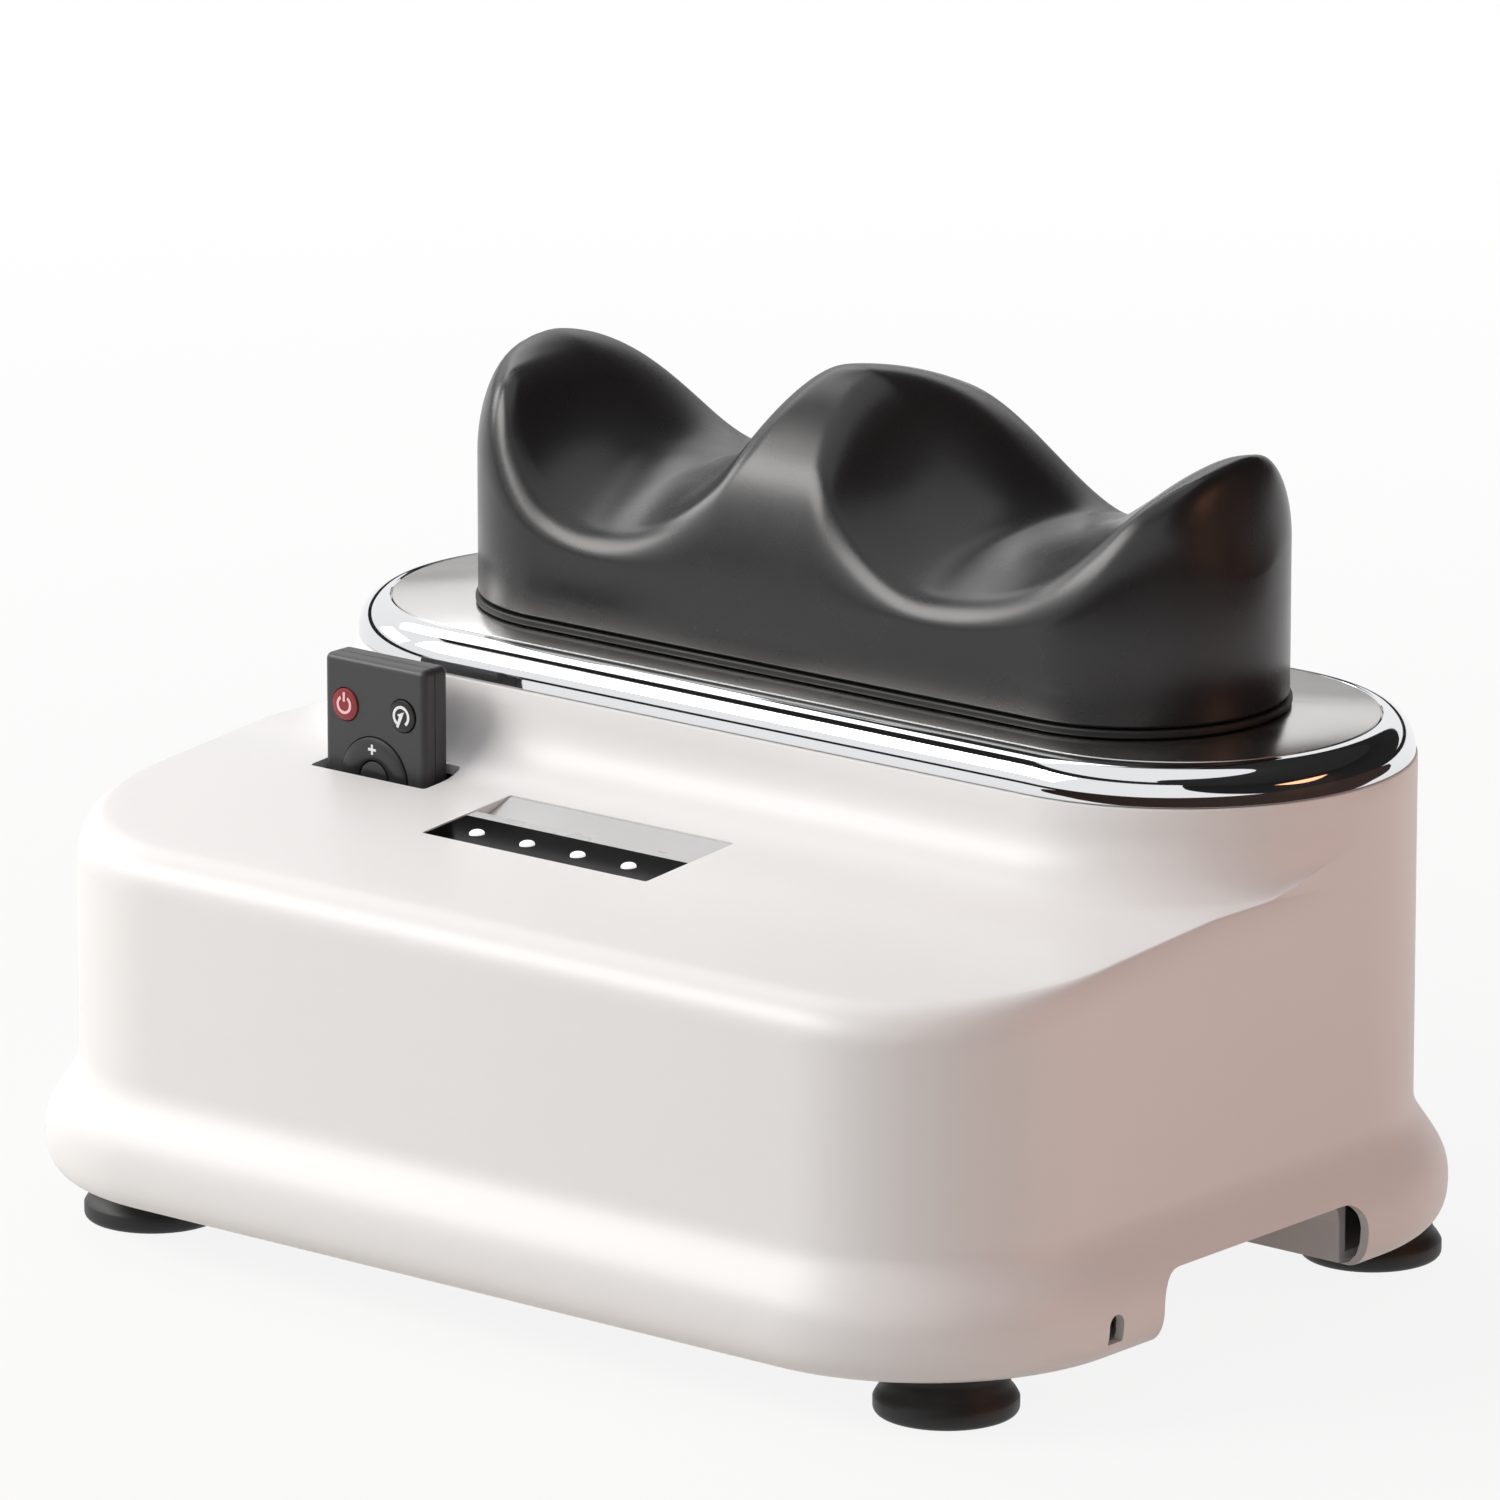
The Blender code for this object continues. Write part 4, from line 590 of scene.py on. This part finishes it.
def towerPlan(inset):
    middle = halfWidth - housing["towerRadius"]
    radius = housing["towerRadius"] - inset
    front = towerFront + inset
    bend = stationCounts["side"] + stationCounts["corner"]
    points = rearRuns(inset)
    points += arcRun((-middle, towerY), radius, pi, 1.5 * pi, bend)
    points += straightRun((-middle, front), (middle, front), stationCounts["frontRun"])
    points += arcRun((middle, towerY), radius, 1.5 * pi, 2 * pi, bend)
    return points


def level(plan, height):
    return [Vector((point.x, point.y, height)) for point in plan]


def skirtReach(height):
    # How far the skirt stands out from the wall at a height
    belly = skirtBottom + housing["bellyRise"]
    if height < belly:
        share = (belly - height) / housing["bellyRise"]
        foot = housing["skirtFoot"]
        return foot + (housing["skirtBulge"] - foot) * max(0.0, 1 - share ** housing["footPower"]) ** 0.5
    share = min(1.0, (height - belly) / housing["shoulderRise"])
    return housing["skirtBulge"] * (0.5 + 0.5 * cos(pi * share ** housing["shoulderPower"]))


def deckPath(start, end, inset, steps):
    # From the wall over the rounded edge, along the deck and up the fillet
    edgeSteps, deckSteps, filletSteps = steps
    span = (end - start).length
    ahead = (end - start) / span if span > 0 else Vector((0, 0))
    edge = housing["deckEdge"] - inset
    fillet = housing["deckFillet"] + inset
    squeeze = min(1.0, span / (edge + fillet))
    run = []
    for k in range(edgeSteps + 1):
        angle = pi / 2 * k / edgeSteps
        run.append((edge * squeeze * (1 - cos(angle)), -edge * (1 - sin(angle))))
    flat = span - (edge + fillet) * squeeze
    for k in range(1, deckSteps):
        run.append((edge * squeeze + flat * k / deckSteps, 0))
    for k in range(filletSteps + 1):
        angle = pi / 2 * k / filletSteps
        run.append((span - fillet * squeeze * (1 - sin(angle)), fillet * (1 - cos(angle))))
    share = min(1.0, span / housing["blendWidth"])
    weight = share * share * (3 - 2 * share)
    low = deckHeight(start.y) - inset - edge
    high = deckHeight(end.y) - inset + fillet
    points = []
    for k, (along, rise) in enumerate(run):
        place = start + ahead * along
        shaped = deckHeight(place.y) - inset + rise
        even = low + (high - low) * k / (len(run) - 1)
        points.append(Vector((place.x, place.y, even + (shaped - even) * weight)))
    return points


def wallRings(inset, skirtSteps, steps):
    low = [skirtBottom + housing["bellyRise"] * (1 - cos(pi / 2 * k / skirtSteps)) for k in range(skirtSteps)]
    belly = skirtBottom + housing["bellyRise"]
    high = [belly + housing["shoulderRise"] * k / (skirtSteps + 2) for k in range(skirtSteps + 3)]
    rings = [level(wallPlan(inset - skirtReach(height)), height) for height in low + high]
    paths = [deckPath(start, end, inset, steps) for start, end in zip(wallPlan(inset), towerPlan(inset))]
    return rings + [[path[k] for path in paths] for k in range(len(paths[0]))]


def notchLoop():
    low = (housing["notch"][0], skirtBottom - housing["notchPast"])
    high = (housing["notch"][1], skirtBottom + housing["notchRise"])
    loop = roundedLoop(low, high, housing["notchCorner"])
    return loop[:len(loop) // 2] + [low, (high[0], low[1])]


def outletLoop():
    radius = housing["outletWidth"] / 2
    sill = skirtBottom + housing["outletRise"]
    crown = sill + housing["outletHeight"] - radius
    arch = arcRun((housing["outletPlace"], crown), radius, 0, pi * 17 / 16, 17)
    return arch + [(housing["outletPlace"] - radius, sill), (housing["outletPlace"] + radius, sill)]


def acrossX(loop, low, high):
    return newObject("cutter", moved(slab([loop], low, high), alongX))


def makeHousing():
    edge = housing["rounding"]
    outer = wallRings(0, ringCounts["outerSkirt"], ringCounts["outerDeck"])
    outer += [level(towerPlan(0), towerTop - edge), level(towerPlan(edge * 0.3), towerTop - edge * 0.3),
              level(towerPlan(edge), towerTop)]
    lip = [level(towerPlan(housing["lipWidth"]), towerTop),
           level(towerPlan(housing["lipWidth"]), towerTop - housing["lipThickness"]),
           level(towerPlan(housing["wall"]), towerTop - housing["lipThickness"])]
    inner = wallRings(housing["wall"], ringCounts["innerSkirt"], ringCounts["innerDeck"])
    item = newObject("housingShell", wrapGrid(outer + lip + inner[::-1], True), 40)
    outside = halfWidth + housing["skirtBulge"] + housing["cutPast"]
    cutters = [acrossX(notchLoop(), -outside, outside)]
    cutters.append(acrossX(outletLoop(), halfWidth - housing["outletDepth"], outside))
    reach = display["length"] / 2
    window = roundedLoop((-display["width"] / 2, -reach), (display["width"] / 2, reach), display["corner"])
    pocket = slab([window], -housing["windowDepth"], housing["cutPast"])
    cutters.append(newObject("cutter", moved(pocket, displayPlace())))
    well = slab([slotLoop(0)], deckBack - housing["slotDepth"], deckBack + housing["deckFillet"])
    cutters.append(newObject("cutter", well))
    combine(item, cutters, sharp=32)
    finishPiece(item, whiteAbs, "base", ["upper_housing"])


# Display window in the deck: smoked strip with four lamps, a ledge and a finger groove

display = {
    "place": (-0.0255, -0.05205),
    "width": 0.0900,
    "length": 0.042,
    "lensLength": 0.0205,
    "ledgeLength": 0.0041,
    "lensThickness": 0.0015,
    "sink": 0.0003,
    "depth": 0.0065,
    "grooveDepth": 0.0030,
    "lampRow": 0.0088,
    "lampPitch": 0.0203,
    "lampRadius": 0.0024,
    "lampRise": 0.0011,
    "drillTop": 0.001,
    "drillDepth": 0.010,
    "corner": 0.001,
}


def displayPlace():
    return deckPlace(*display["place"])


def makeDisplay():
    where = displayPlace()
    half = display["width"] / 2 - gap
    reach = display["length"] / 2 - gap
    top = -display["sink"]
    lensEnd = display["lensLength"] - reach
    spots = [((k - 1.5) * display["lampPitch"], display["lampRow"] - reach) for k in range(4)]
    holes = [circleLoop(spot, display["lampRadius"] + gap) for spot in spots]
    lens = roundedLoop((-half, -reach), (half, lensEnd), display["corner"] - gap)
    work = moved(slab([lens] + holes, top - display["lensThickness"], top, 0.00012, 1), where)
    finishPiece(newObject("displayLens", work), smokedAcrylic, "base", ["display_lens"])
    ledge = lensEnd + gap
    ledgeEnd = ledge + display["ledgeLength"]
    groove = top - display["grooveDepth"]
    under = top - display["lensThickness"] - gap
    # From the side: the floor, the rear, the finger groove from back to front, the ledge and the lens's seat
    side = [(-reach, -display["depth"]), (reach, -display["depth"]), (reach, top),
            (ledgeEnd + display["grooveDepth"] + 0.0012, groove + 0.0001),
            (ledgeEnd + display["grooveDepth"] * 0.75, groove),
            (ledgeEnd + display["grooveDepth"] * 0.45, groove + 0.0004),
            (ledgeEnd, top), (ledge, top), (ledge, under), (-reach, under)]
    bezel = newObject("displayBezel", moved(slab([side], -half, half, 0.0001, 1), where @ alongX), 25)
    bore = display["lampRadius"] + gap
    drilled = [(0, display["drillTop"]), (bore, display["drillTop"]), (bore, -display["drillDepth"]),
               (0, -display["drillDepth"])]
    drills = [newObject("drill", moved(spunShape(drilled, 40), where @ Matrix.Translation((x, y, 0))))
              for x, y in spots]
    combine(bezel, drills, sharp=25)
    finishPiece(bezel, satinGrey, "base", ["display_bezel"])
    radius = display["lampRadius"]
    angles = [pi / 2 * k / 8 for k in range(9)]
    dome = [(radius * sin(angle), top + display["lampRise"] * cos(angle)) for angle in angles]
    dome += [(radius, -display["depth"]), (0, -display["depth"])]
    for k, (x, y) in enumerate(spots, 1):
        work = moved(spunShape(dome, 40), where @ Matrix.Translation((x, y, 0)))
        finishPiece(newObject("statusLamp%d" % k, work), milkyAcrylic, "base",
                    ["status_lamp_%d" % k])


# The remote's slot in the deck, sized round the remote

remoteLow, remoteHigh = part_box("remote_case_front")
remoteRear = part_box("remote_case_back")[1][1]
slot = {
    "spareLeft": 0.0019,
    "spareRight": 0.0040,
    "spareFront": 0.0050,
    "spareRear": 0.0013,
    "corner": 0.0015,
}


def slotLoop(grow):
    low = (remoteLow[0] - slot["spareLeft"] - grow, remoteLow[1] - slot["spareFront"] - grow)
    high = (remoteHigh[0] + slot["spareRight"] + grow, remoteRear + slot["spareRear"] + grow)
    return roundedLoop(low, high, slot["corner"] + grow)


makeDisplay()
makeHousing()
print("housing and display ready")


# Trim ring and top plate

ring = {
    "width": 0.011,
    "height": 0.0115,
    "jointInset": 0.0006,
    "shelf": 0.005,
    "shelfHeight": 0.008,
    "crownShare": 0.90,
    "shoulderShare": 0.05,
    "crownSteps": 20,
    "edge": 0.0003,
    "plateThickness": 0.0035,
    "postPlace": 0.070,
    "slotHalf": 0.0226,
    "slotRadius": 0.0066,
}
plateTop = towerTop + 2 * gap + ring["shelfHeight"] + ring["plateThickness"]


def makeRing():
    low = towerTop + gap
    start = ring["jointInset"]
    middle = start + (ring["width"] - start) * ring["crownShare"]
    profile = [(start + ring["edge"], low), (start, low + ring["edge"])]
    for k in range(1, ring["crownSteps"] + 1):
        angle = pi / 2 * k / ring["crownSteps"]
        share = ring["shoulderShare"] + (1 - ring["shoulderShare"]) * sin(angle)
        profile.append((middle - (middle - start) * cos(angle), low + ring["height"] * share))
    shelf = low + ring["shelfHeight"]
    edge = ring["width"] + ring["shelf"]
    profile += [(ring["width"] - 0.0004, plateTop - gap + 0.0001), (ring["width"], plateTop - gap - 0.0003),
                (ring["width"], shelf), (edge, shelf), (edge, low)]
    rings = [level(towerPlan(inset), height) for inset, height in profile]
    item = newObject("trimRing", wrapGrid(rings, True), 32)
    finishPiece(item, chromedAbs, "base", ["trim_ring"])


def makePlate():
    outline = [(point.x, point.y) for point in towerPlan(ring["width"] + gap)]
    slots = [stadiumLoop((side * ring["postPlace"], towerY), ring["slotHalf"], ring["slotRadius"])
             for side in (-1, 1)]
    work = slab([outline] + slots, plateTop - ring["plateThickness"], plateTop, ring["edge"], 2)
    finishPiece(newObject("topPlate", work, 30), satinPlate, "base", ["top_plate"])


makeRing()
makePlate()
print("ring and plate ready")


# Ankle rest: two scoops between three humps, moulded foam on a thin base. Ridges count from the tower's
# middle line, heights from the cushion's underside.

rest = {
    "middleRidge": 0.004,
    "middleHeight": 0.0873,
    "middleFrontDrop": 0.045,
    "middleRearDrop": 0.0158,
    "endRidge": 0.007,
    "endHeight": 0.0777,
    "endFrontDrop": 0.013,
    "endRearDrop": 0.0117,
    "endInset": 0.0105,
    "endDrop": 0.0260,
    "scoopInset": 0.0818,
    "scoopFront": 0.0278,
    "scoopRear": 0.0401,
    "scoopSaddle": 0.0122,
    "mouthWidth": 0.049,
    "mouthRise": 0.046,
    "rightWidth": 0.064,
    "steepest": 0.92,
    "shoulder": 0.024,
    "skew": 0.009,
    "mouthDepth": 0.012,
    "blendDepth": 0.060,
    "edgeWidth": 0.0103,
    "edgeHeight": 0.024,
    "frontWidth": 0.0155,
    "frontHeight": 0.027,
    "lipWidth": 0.0075,
    "rimHeight": 0.0058,
    "rollGrowth": 1.1,
    "lean": 1.6,
    "middleSwell": 0.82,
    "endSwell": 1.55,
    "straightSteps": 150,
    "arcSteps": 60,
    "edgeSteps": 16,
    "innerSteps": 24,
    "soleInset": 0.0012,
    "baseEdge": 0.0006,
}
baseLow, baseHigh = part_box("footrest_base")
cushionLow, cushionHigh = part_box("footrest_cushion")
restHalf = cushionHigh[0]
restRadius = (cushionHigh[1] - cushionLow[1]) / 2
restBottom = cushionLow[2]
scoopPlace = restHalf - rest["scoopInset"]
endPlace = restHalf - rest["endInset"]


def restPlan(inset):
    radius = restRadius - inset
    middle = restHalf - restRadius
    points = straightRun((-middle, towerY - radius), (middle, towerY - radius), rest["straightSteps"])
    points += arcRun((middle, towerY), radius, -pi / 2, pi / 2, rest["arcSteps"])
    points += straightRun((middle, towerY + radius), (-middle, towerY + radius), rest["straightSteps"])
    points += arcRun((-middle, towerY), radius, pi / 2, 1.5 * pi, rest["arcSteps"])
    return points


def humpHeight(y, ridge, height, frontDrop, rearDrop):
    ahead = max(0, (ridge - y) / (ridge - towerY + restRadius)) ** rest["lean"]
    behind = max(0, (y - ridge) / (towerY + restRadius - ridge)) ** rest["lean"]
    return restBottom + height - frontDrop * ahead - rearDrop * behind


def restSwell(x):
    # 0 in the middle of a scoop and 1 on the humps
    reach = abs(x)
    if reach < scoopPlace:
        return (0.5 + 0.5 * cos(pi * reach / scoopPlace)) ** rest["middleSwell"]
    share = min(1, (reach - scoopPlace) / (endPlace - scoopPlace))
    return (0.5 - 0.5 * cos(pi * share)) ** rest["endSwell"]


def cradleRise(x):
    # The mouth of a scoop, round like the leg that lies in it
    away = abs(abs(x) - scoopPlace)
    width = rest["rightWidth"] if x > scoopPlace else rest["mouthWidth"]
    share = min(away / width, rest["steepest"])
    flat = (1 - share * share) ** 0.5
    slope = rest["mouthRise"] / width * share / flat
    return rest["mouthRise"] * (1 - flat) + slope * (away - share * width)


def softLower(first, second, reach):
    near = max(0, 1 - abs(first - second) / reach)
    return min(first, second) - near * near * reach / 4


def restForm(x, y):
    # Height of the top, and how far up its hump the place is, from 0 to 1
    middle = humpHeight(y, towerY - rest["middleRidge"], rest["middleHeight"], rest["middleFrontDrop"],
                        rest["middleRearDrop"])
    end = humpHeight(y, towerY + rest["endRidge"], rest["endHeight"], rest["endFrontDrop"],
                     rest["endRearDrop"])
    share = (y - towerY + restRadius) / (2 * restRadius)
    inside = min(1, max(0, (2 * restRadius * share - rest["mouthDepth"]) / rest["blendDepth"]))
    inside = inside * inside * (3 - 2 * inside)
    # The mouths of the scoops sit a little to the left of the valleys behind them
    x += rest["skew"] * (1 - inside) * (1 - (x / restHalf) ** 4)
    scoop = restBottom + rest["scoopFront"] + (rest["scoopRear"] - rest["scoopFront"]) * share
    scoop += 4 * rest["scoopSaddle"] * share * (1 - share)
    past = max(0, abs(x) - endPlace) / rest["endInset"]
    hump = middle if abs(x) < scoopPlace else end
    drop = rest["endDrop"] * past * past
    waved = scoop + (hump - scoop) * restSwell(x) - drop
    room = max(0.0005, hump - drop - scoop)
    mouth = softLower(hump - drop, scoop + cradleRise(x), min(rest["shoulder"], room))
    height = mouth + (waved - mouth) * inside
    return height, min(1, max(0, (height - scoop) / (hump - scoop)))


def crownRing(inset):
    # The edge rolls over deeply on the humps and tightly at the mouths of the scoops
    points = []
    for p in restPlan(inset):
        height, crest = restForm(p.x, p.y)
        crest = crest ** rest["rollGrowth"]
        front = max(0, (towerY - p.y) / restRadius) ** 2
        width = rest["edgeWidth"] + (rest["frontWidth"] - rest["edgeWidth"]) * front
        depth = rest["edgeHeight"] + (rest["frontHeight"] - rest["edgeHeight"]) * front
        width = rest["lipWidth"] + (width - rest["lipWidth"]) * crest
        depth = rest["rimHeight"] + (depth - rest["rimHeight"]) * crest
        share = max(0, 1 - inset / width)
        points.append(Vector((p.x, p.y, height - depth * (1 - (1 - share * share) ** 0.5))))
    return points


def makeAnkleRest():
    sole = rest["soleInset"]
    rings = [level(restPlan(sole), restBottom), level(restPlan(sole / 3), restBottom + sole / 4),
             level(restPlan(0), restBottom + sole)]
    for k in range(rest["edgeSteps"] + 1):
        angle = pi / 2 * k / rest["edgeSteps"]
        rings.append(crownRing(rest["edgeWidth"] * (1 - cos(angle))))
    span = restRadius - rest["edgeWidth"]
    for k in range(1, rest["innerSteps"] + 1):
        rings.append(crownRing(rest["edgeWidth"] + span * k / rest["innerSteps"]))
    item = newObject("ankleRestFoam", wrapGrid(rings, False), 60)
    finishPiece(item, skinFoam, "ankle_rest", ["footrest_cushion"])
    outline = stadiumLoop((0, towerY), baseHigh[0], (baseHigh[1] - baseLow[1]) / 2, 64)
    base = newObject("ankleRestBase", slab([outline], baseLow[2], baseHigh[2], rest["baseEdge"], 3), 30)
    finishPiece(base, satinBlack, "ankle_rest", ["footrest_base"])


makeAnkleRest()
print("ankle rest ready")


# Suction feet

foot = {
    "radius": 0.022,
    "rimWidth": 0.004,
    "rimRounding": 0.0022,
    "rimHeight": 0.0050,
    "bellRadius": 0.0196,
    "bellHeight": 0.0085,
    "neckRadius": 0.0178,
    "neckHeight": 0.0125,
    "hollowHeight": 0.0030,
    "flare": 0.0012,
    "segments": 72,
}


def makeFeet():
    for name in [name for name in nodes if name.startswith("suction_foot")]:
        low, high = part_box(name)
        centre = ((low[0] + high[0]) / 2, (low[1] + high[1]) / 2, 0)
        radius = foot["radius"]
        rounding = foot["rimRounding"]
        neck, bell, flare = foot["neckRadius"], foot["bellRadius"], foot["flare"]
        # Down the neck and over the bell to the rim
        profile = [(0, high[2]), (neck, high[2]), (neck, foot["neckHeight"]),
                   (neck + 0.0005, foot["neckHeight"] - flare), (bell - 0.0004, foot["bellHeight"] + flare),
                   (bell, foot["bellHeight"]), (bell + flare, foot["bellHeight"] - 0.0014),
                   (radius - 0.0003, foot["rimHeight"] + 0.0006), (radius, foot["rimHeight"])]
        for k in range(7):
            angle = pi / 2 * k / 6
            profile.append((radius - rounding * (1 - cos(angle)), rounding * (1 - sin(angle))))
        inner = radius - foot["rimWidth"]
        # Under the rim and up into the hollow of the cup
        profile += [(inner, 0), (inner - 0.0006, 0.0003), (inner * 0.55, foot["hollowHeight"] * 0.9),
                    (0, foot["hollowHeight"])]
        work = moved(spunShape(profile, foot["segments"]), Matrix.Translation(centre))
        item = newObject(name.replace("suction_foot", "suctionFoot"), work, 50)
        finishPiece(item, mouldedRubber, "base", [name])


makeFeet()
print("feet ready")


# Remote control

remote = {
    "rounding": 0.0022,
    "wall": 0.0016,
    "keyRise": 0.0006,
    "keyRadius": 0.0052,
    "keySpread": 0.0118,
    "keyDrop": 0.0155,
    "ringRadius": 0.0135,
    "ringDrop": 0.0378,
    "centreRadius": 0.0058,
    "doorHalfWidth": 0.0120,
    "doorLow": 0.0080,
    "doorHigh": 0.0330,
    "doorCorner": 0.002,
    "keyEdge": 0.0005,
    "keySunk": 0.0006,
    "drillReach": 0.003,
    "cutPast": 0.004,
    "inlay": 0.00008,
    "inlaySunk": 0.0003,
}
remoteX = (remoteLow[0] + remoteHigh[0]) / 2
remoteTop = remoteHigh[2]
remoteFront = remoteLow[1]
split = remoteHigh[1]


def keyPlaces():
    upper = remoteTop - remote["keyDrop"]
    middle = remoteTop - remote["ringDrop"]
    return {
        "power": (remoteX - remote["keySpread"], upper),
        "mode": (remoteX + remote["keySpread"], upper),
        "nav": (remoteX, middle),
    }


def onFace(x, z):
    # Axes on the remote's front: right, up and out towards the front
    return Matrix.Translation((x, remoteFront, z)) @ Matrix.Rotation(pi / 2, 4, "X")


def onBack():
    # Axes on the remote's back, at the middle of its lower edge
    return Matrix.Translation((remoteX, remoteRear, remoteLow[2])) @ Matrix.Rotation(pi / 2, 4, "X")


def doorLoop(inset):
    low = (-remote["doorHalfWidth"] + inset, remote["doorLow"] + inset)
    high = (remote["doorHalfWidth"] - inset, remote["doorHigh"] - inset)
    return roundedLoop(low, high, remote["doorCorner"] - inset)


def keyShape(radius, bore, rise, crown):
    # A pressed cap with a rounded rim, hollow in the middle when it is a ring
    edge = remote["keyEdge"]
    deep = -remote["wall"] - remote["keySunk"]
    outer = [(radius, deep), (radius, rise - edge), (radius - edge * 0.3, rise - edge * 0.3),
             (radius - edge, rise)]
    if bore > 0:
        middle = (radius + bore) / 2
        outer += [((radius - edge + middle) / 2, rise + crown * 0.75), (middle, rise + crown),
                  ((bore + edge + middle) / 2, rise + crown * 0.75), (bore + edge, rise),
                  (bore + edge * 0.3, rise - edge * 0.3), (bore, rise - edge), (bore, deep)]
        return outer
    outer += [(radius * 0.66, rise + crown * 0.6), (radius * 0.33, rise + crown * 0.9), (0, rise + crown)]
    return [(0, deep)] + outer


def makeRemote():
    low = (remoteLow[0], remoteFront, remoteLow[2])
    high = (remoteHigh[0], remoteRear, remoteTop)
    reach = remote["drillReach"]
    below = [value - remote["cutPast"] for value in low]
    above = [value + remote["cutPast"] for value in high]
    inside = [value + remote["wall"] for value in low]
    outside = [value - remote["wall"] for value in high]
    for name, node, near, far in (("remoteFace", "remote_case_front", split, above[1]),
                                  ("remoteBack", "remote_case_back", below[1], split + gap)):
        case = newObject(name, block(low, high, remote["rounding"], 6))
        keep = newObject("keep", block((below[0], near, below[2]), (above[0], far, above[2])))
        cutters = [keep, newObject("hollow", block(inside, outside))]
        if node == "remote_case_front":
            for key, (x, z) in keyPlaces().items():
                bore = gap + (remote["ringRadius"] if key == "nav" else remote["keyRadius"])
                drill = spunShape([(0, reach), (bore, reach), (bore, -reach), (0, -reach)], 64)
                cutters.append(newObject("drill", moved(drill, onFace(x, z))))
        else:
            cutters.append(newObject("drill", moved(slab([doorLoop(0)], -reach, reach), onBack())))
        combine(case, cutters, sharp=40)
        evenNormals(case)
        finishPiece(case, texturedAbs, "remote", [node])
    door = moved(slab([doorLoop(gap)], 0, remote["wall"] - gap, 0.0002, 2), onBack())
    finishPiece(newObject("remoteDoor", door), texturedAbs, "remote",
                ["remote_battery_door"])
    print("remote case ready")


def makeKeys():
    places = keyPlaces()
    small, wide, centre = remote["keyRadius"], remote["ringRadius"], remote["centreRadius"]
    keys = (
        # name, node, place, radius, bore, crown, material, body, slot
        ("powerKey", "remote_power_key", "power", small, 0, 0.0002, litKey, "power_key", "key_red"),
        ("modeKey", "remote_mode_key", "mode", small, 0, 0.0002, blackKey, "mode_key", "key_black"),
        ("navRing", "remote_nav_ring", "nav", wide, centre + gap, 0.0006, navKey, "nav_ring", "key_black"),
        ("centreKey", "remote_centre_key", "nav", centre, 0, 0.0003, navKey, "centre_key", "key_black"),
    )
    for name, node, place, radius, bore, crown, material, body, finish in keys:
        profile = keyShape(radius, bore, remote["keyRise"], crown)
        item = newObject(name, moved(spunShape(profile, 64), onFace(*places[place])), 40)
        finishPiece(item, material, body, [node])


# Marks on the keys

marks = {
    "crown": 0.00035,
    "stroke": 0.0009,
    "powerRadius": 0.0030,
    "powerGap": 0.55,
    "barHalf": 0.00045,
    "barLow": 0.0010,
    "barHigh": 0.0040,
    "modeRadius": 0.0034,
    "plusHalf": 0.0004,
    "plusLong": 0.0016,
    "navRise": 0.0098,
    "navCrown": 0.0007,
}


def inlay(name, loops, place, body, material, crown=marks["crown"]):
    # A printed mark, a thin flat shape that stands a hair proud of its key
    top = remote["keyRise"] + crown
    work = moved(slab(loops, top - remote["inlay"] - remote["inlaySunk"], top), onFace(*place))
    finishPiece(newObject(name, work), material, body)


def openRing(radius, width, start, end, steps=40):
    outer = arcRun((0, 0), radius, start, end + (end - start) / steps, steps + 1)
    return outer + arcRun((0, 0), radius - width, end, start - (end - start) / steps, steps + 1)


def makeMarks():
    places = keyPlaces()
    stroke, bar = marks["stroke"], marks["barHalf"]
    start, end = pi / 2 + marks["powerGap"], 2.5 * pi - marks["powerGap"]
    inlay("powerMark", [openRing(marks["powerRadius"], stroke, start, end)], places["power"], "power_key",
          litMark)
    inlay("powerBar", [[(-bar, marks["barLow"]), (bar, marks["barLow"]), (bar, marks["barHigh"]),
                        (-bar, marks["barHigh"])]], places["power"], "power_key", litMark)
    inlay("modeMark", [openRing(marks["modeRadius"], stroke, -0.3 * pi, 1.3 * pi)], places["mode"],
          "mode_key", printedWhite)
    inlay("modeArrow", [[(0.0005, -0.0002), (0.0012, 0.0016), (-0.0016, 0.0004), (-0.0008, -0.0001),
                         (-0.0020, -0.0034), (-0.0012, -0.0038)]], places["mode"], "mode_key", printedWhite)
    x, z = places["nav"]
    half, long = marks["plusHalf"], marks["plusLong"]
    plus = [(half, half), (half, long), (-half, long), (-half, half), (-long, half), (-long, -half),
            (-half, -half), (-half, -long), (half, -long), (half, -half), (long, -half), (long, half)]
    inlay("navMark", [plus], (x, z + marks["navRise"]), "nav_ring", printedWhite, marks["navCrown"])


makeRemote()
makeKeys()
makeMarks()
print("remote ready")
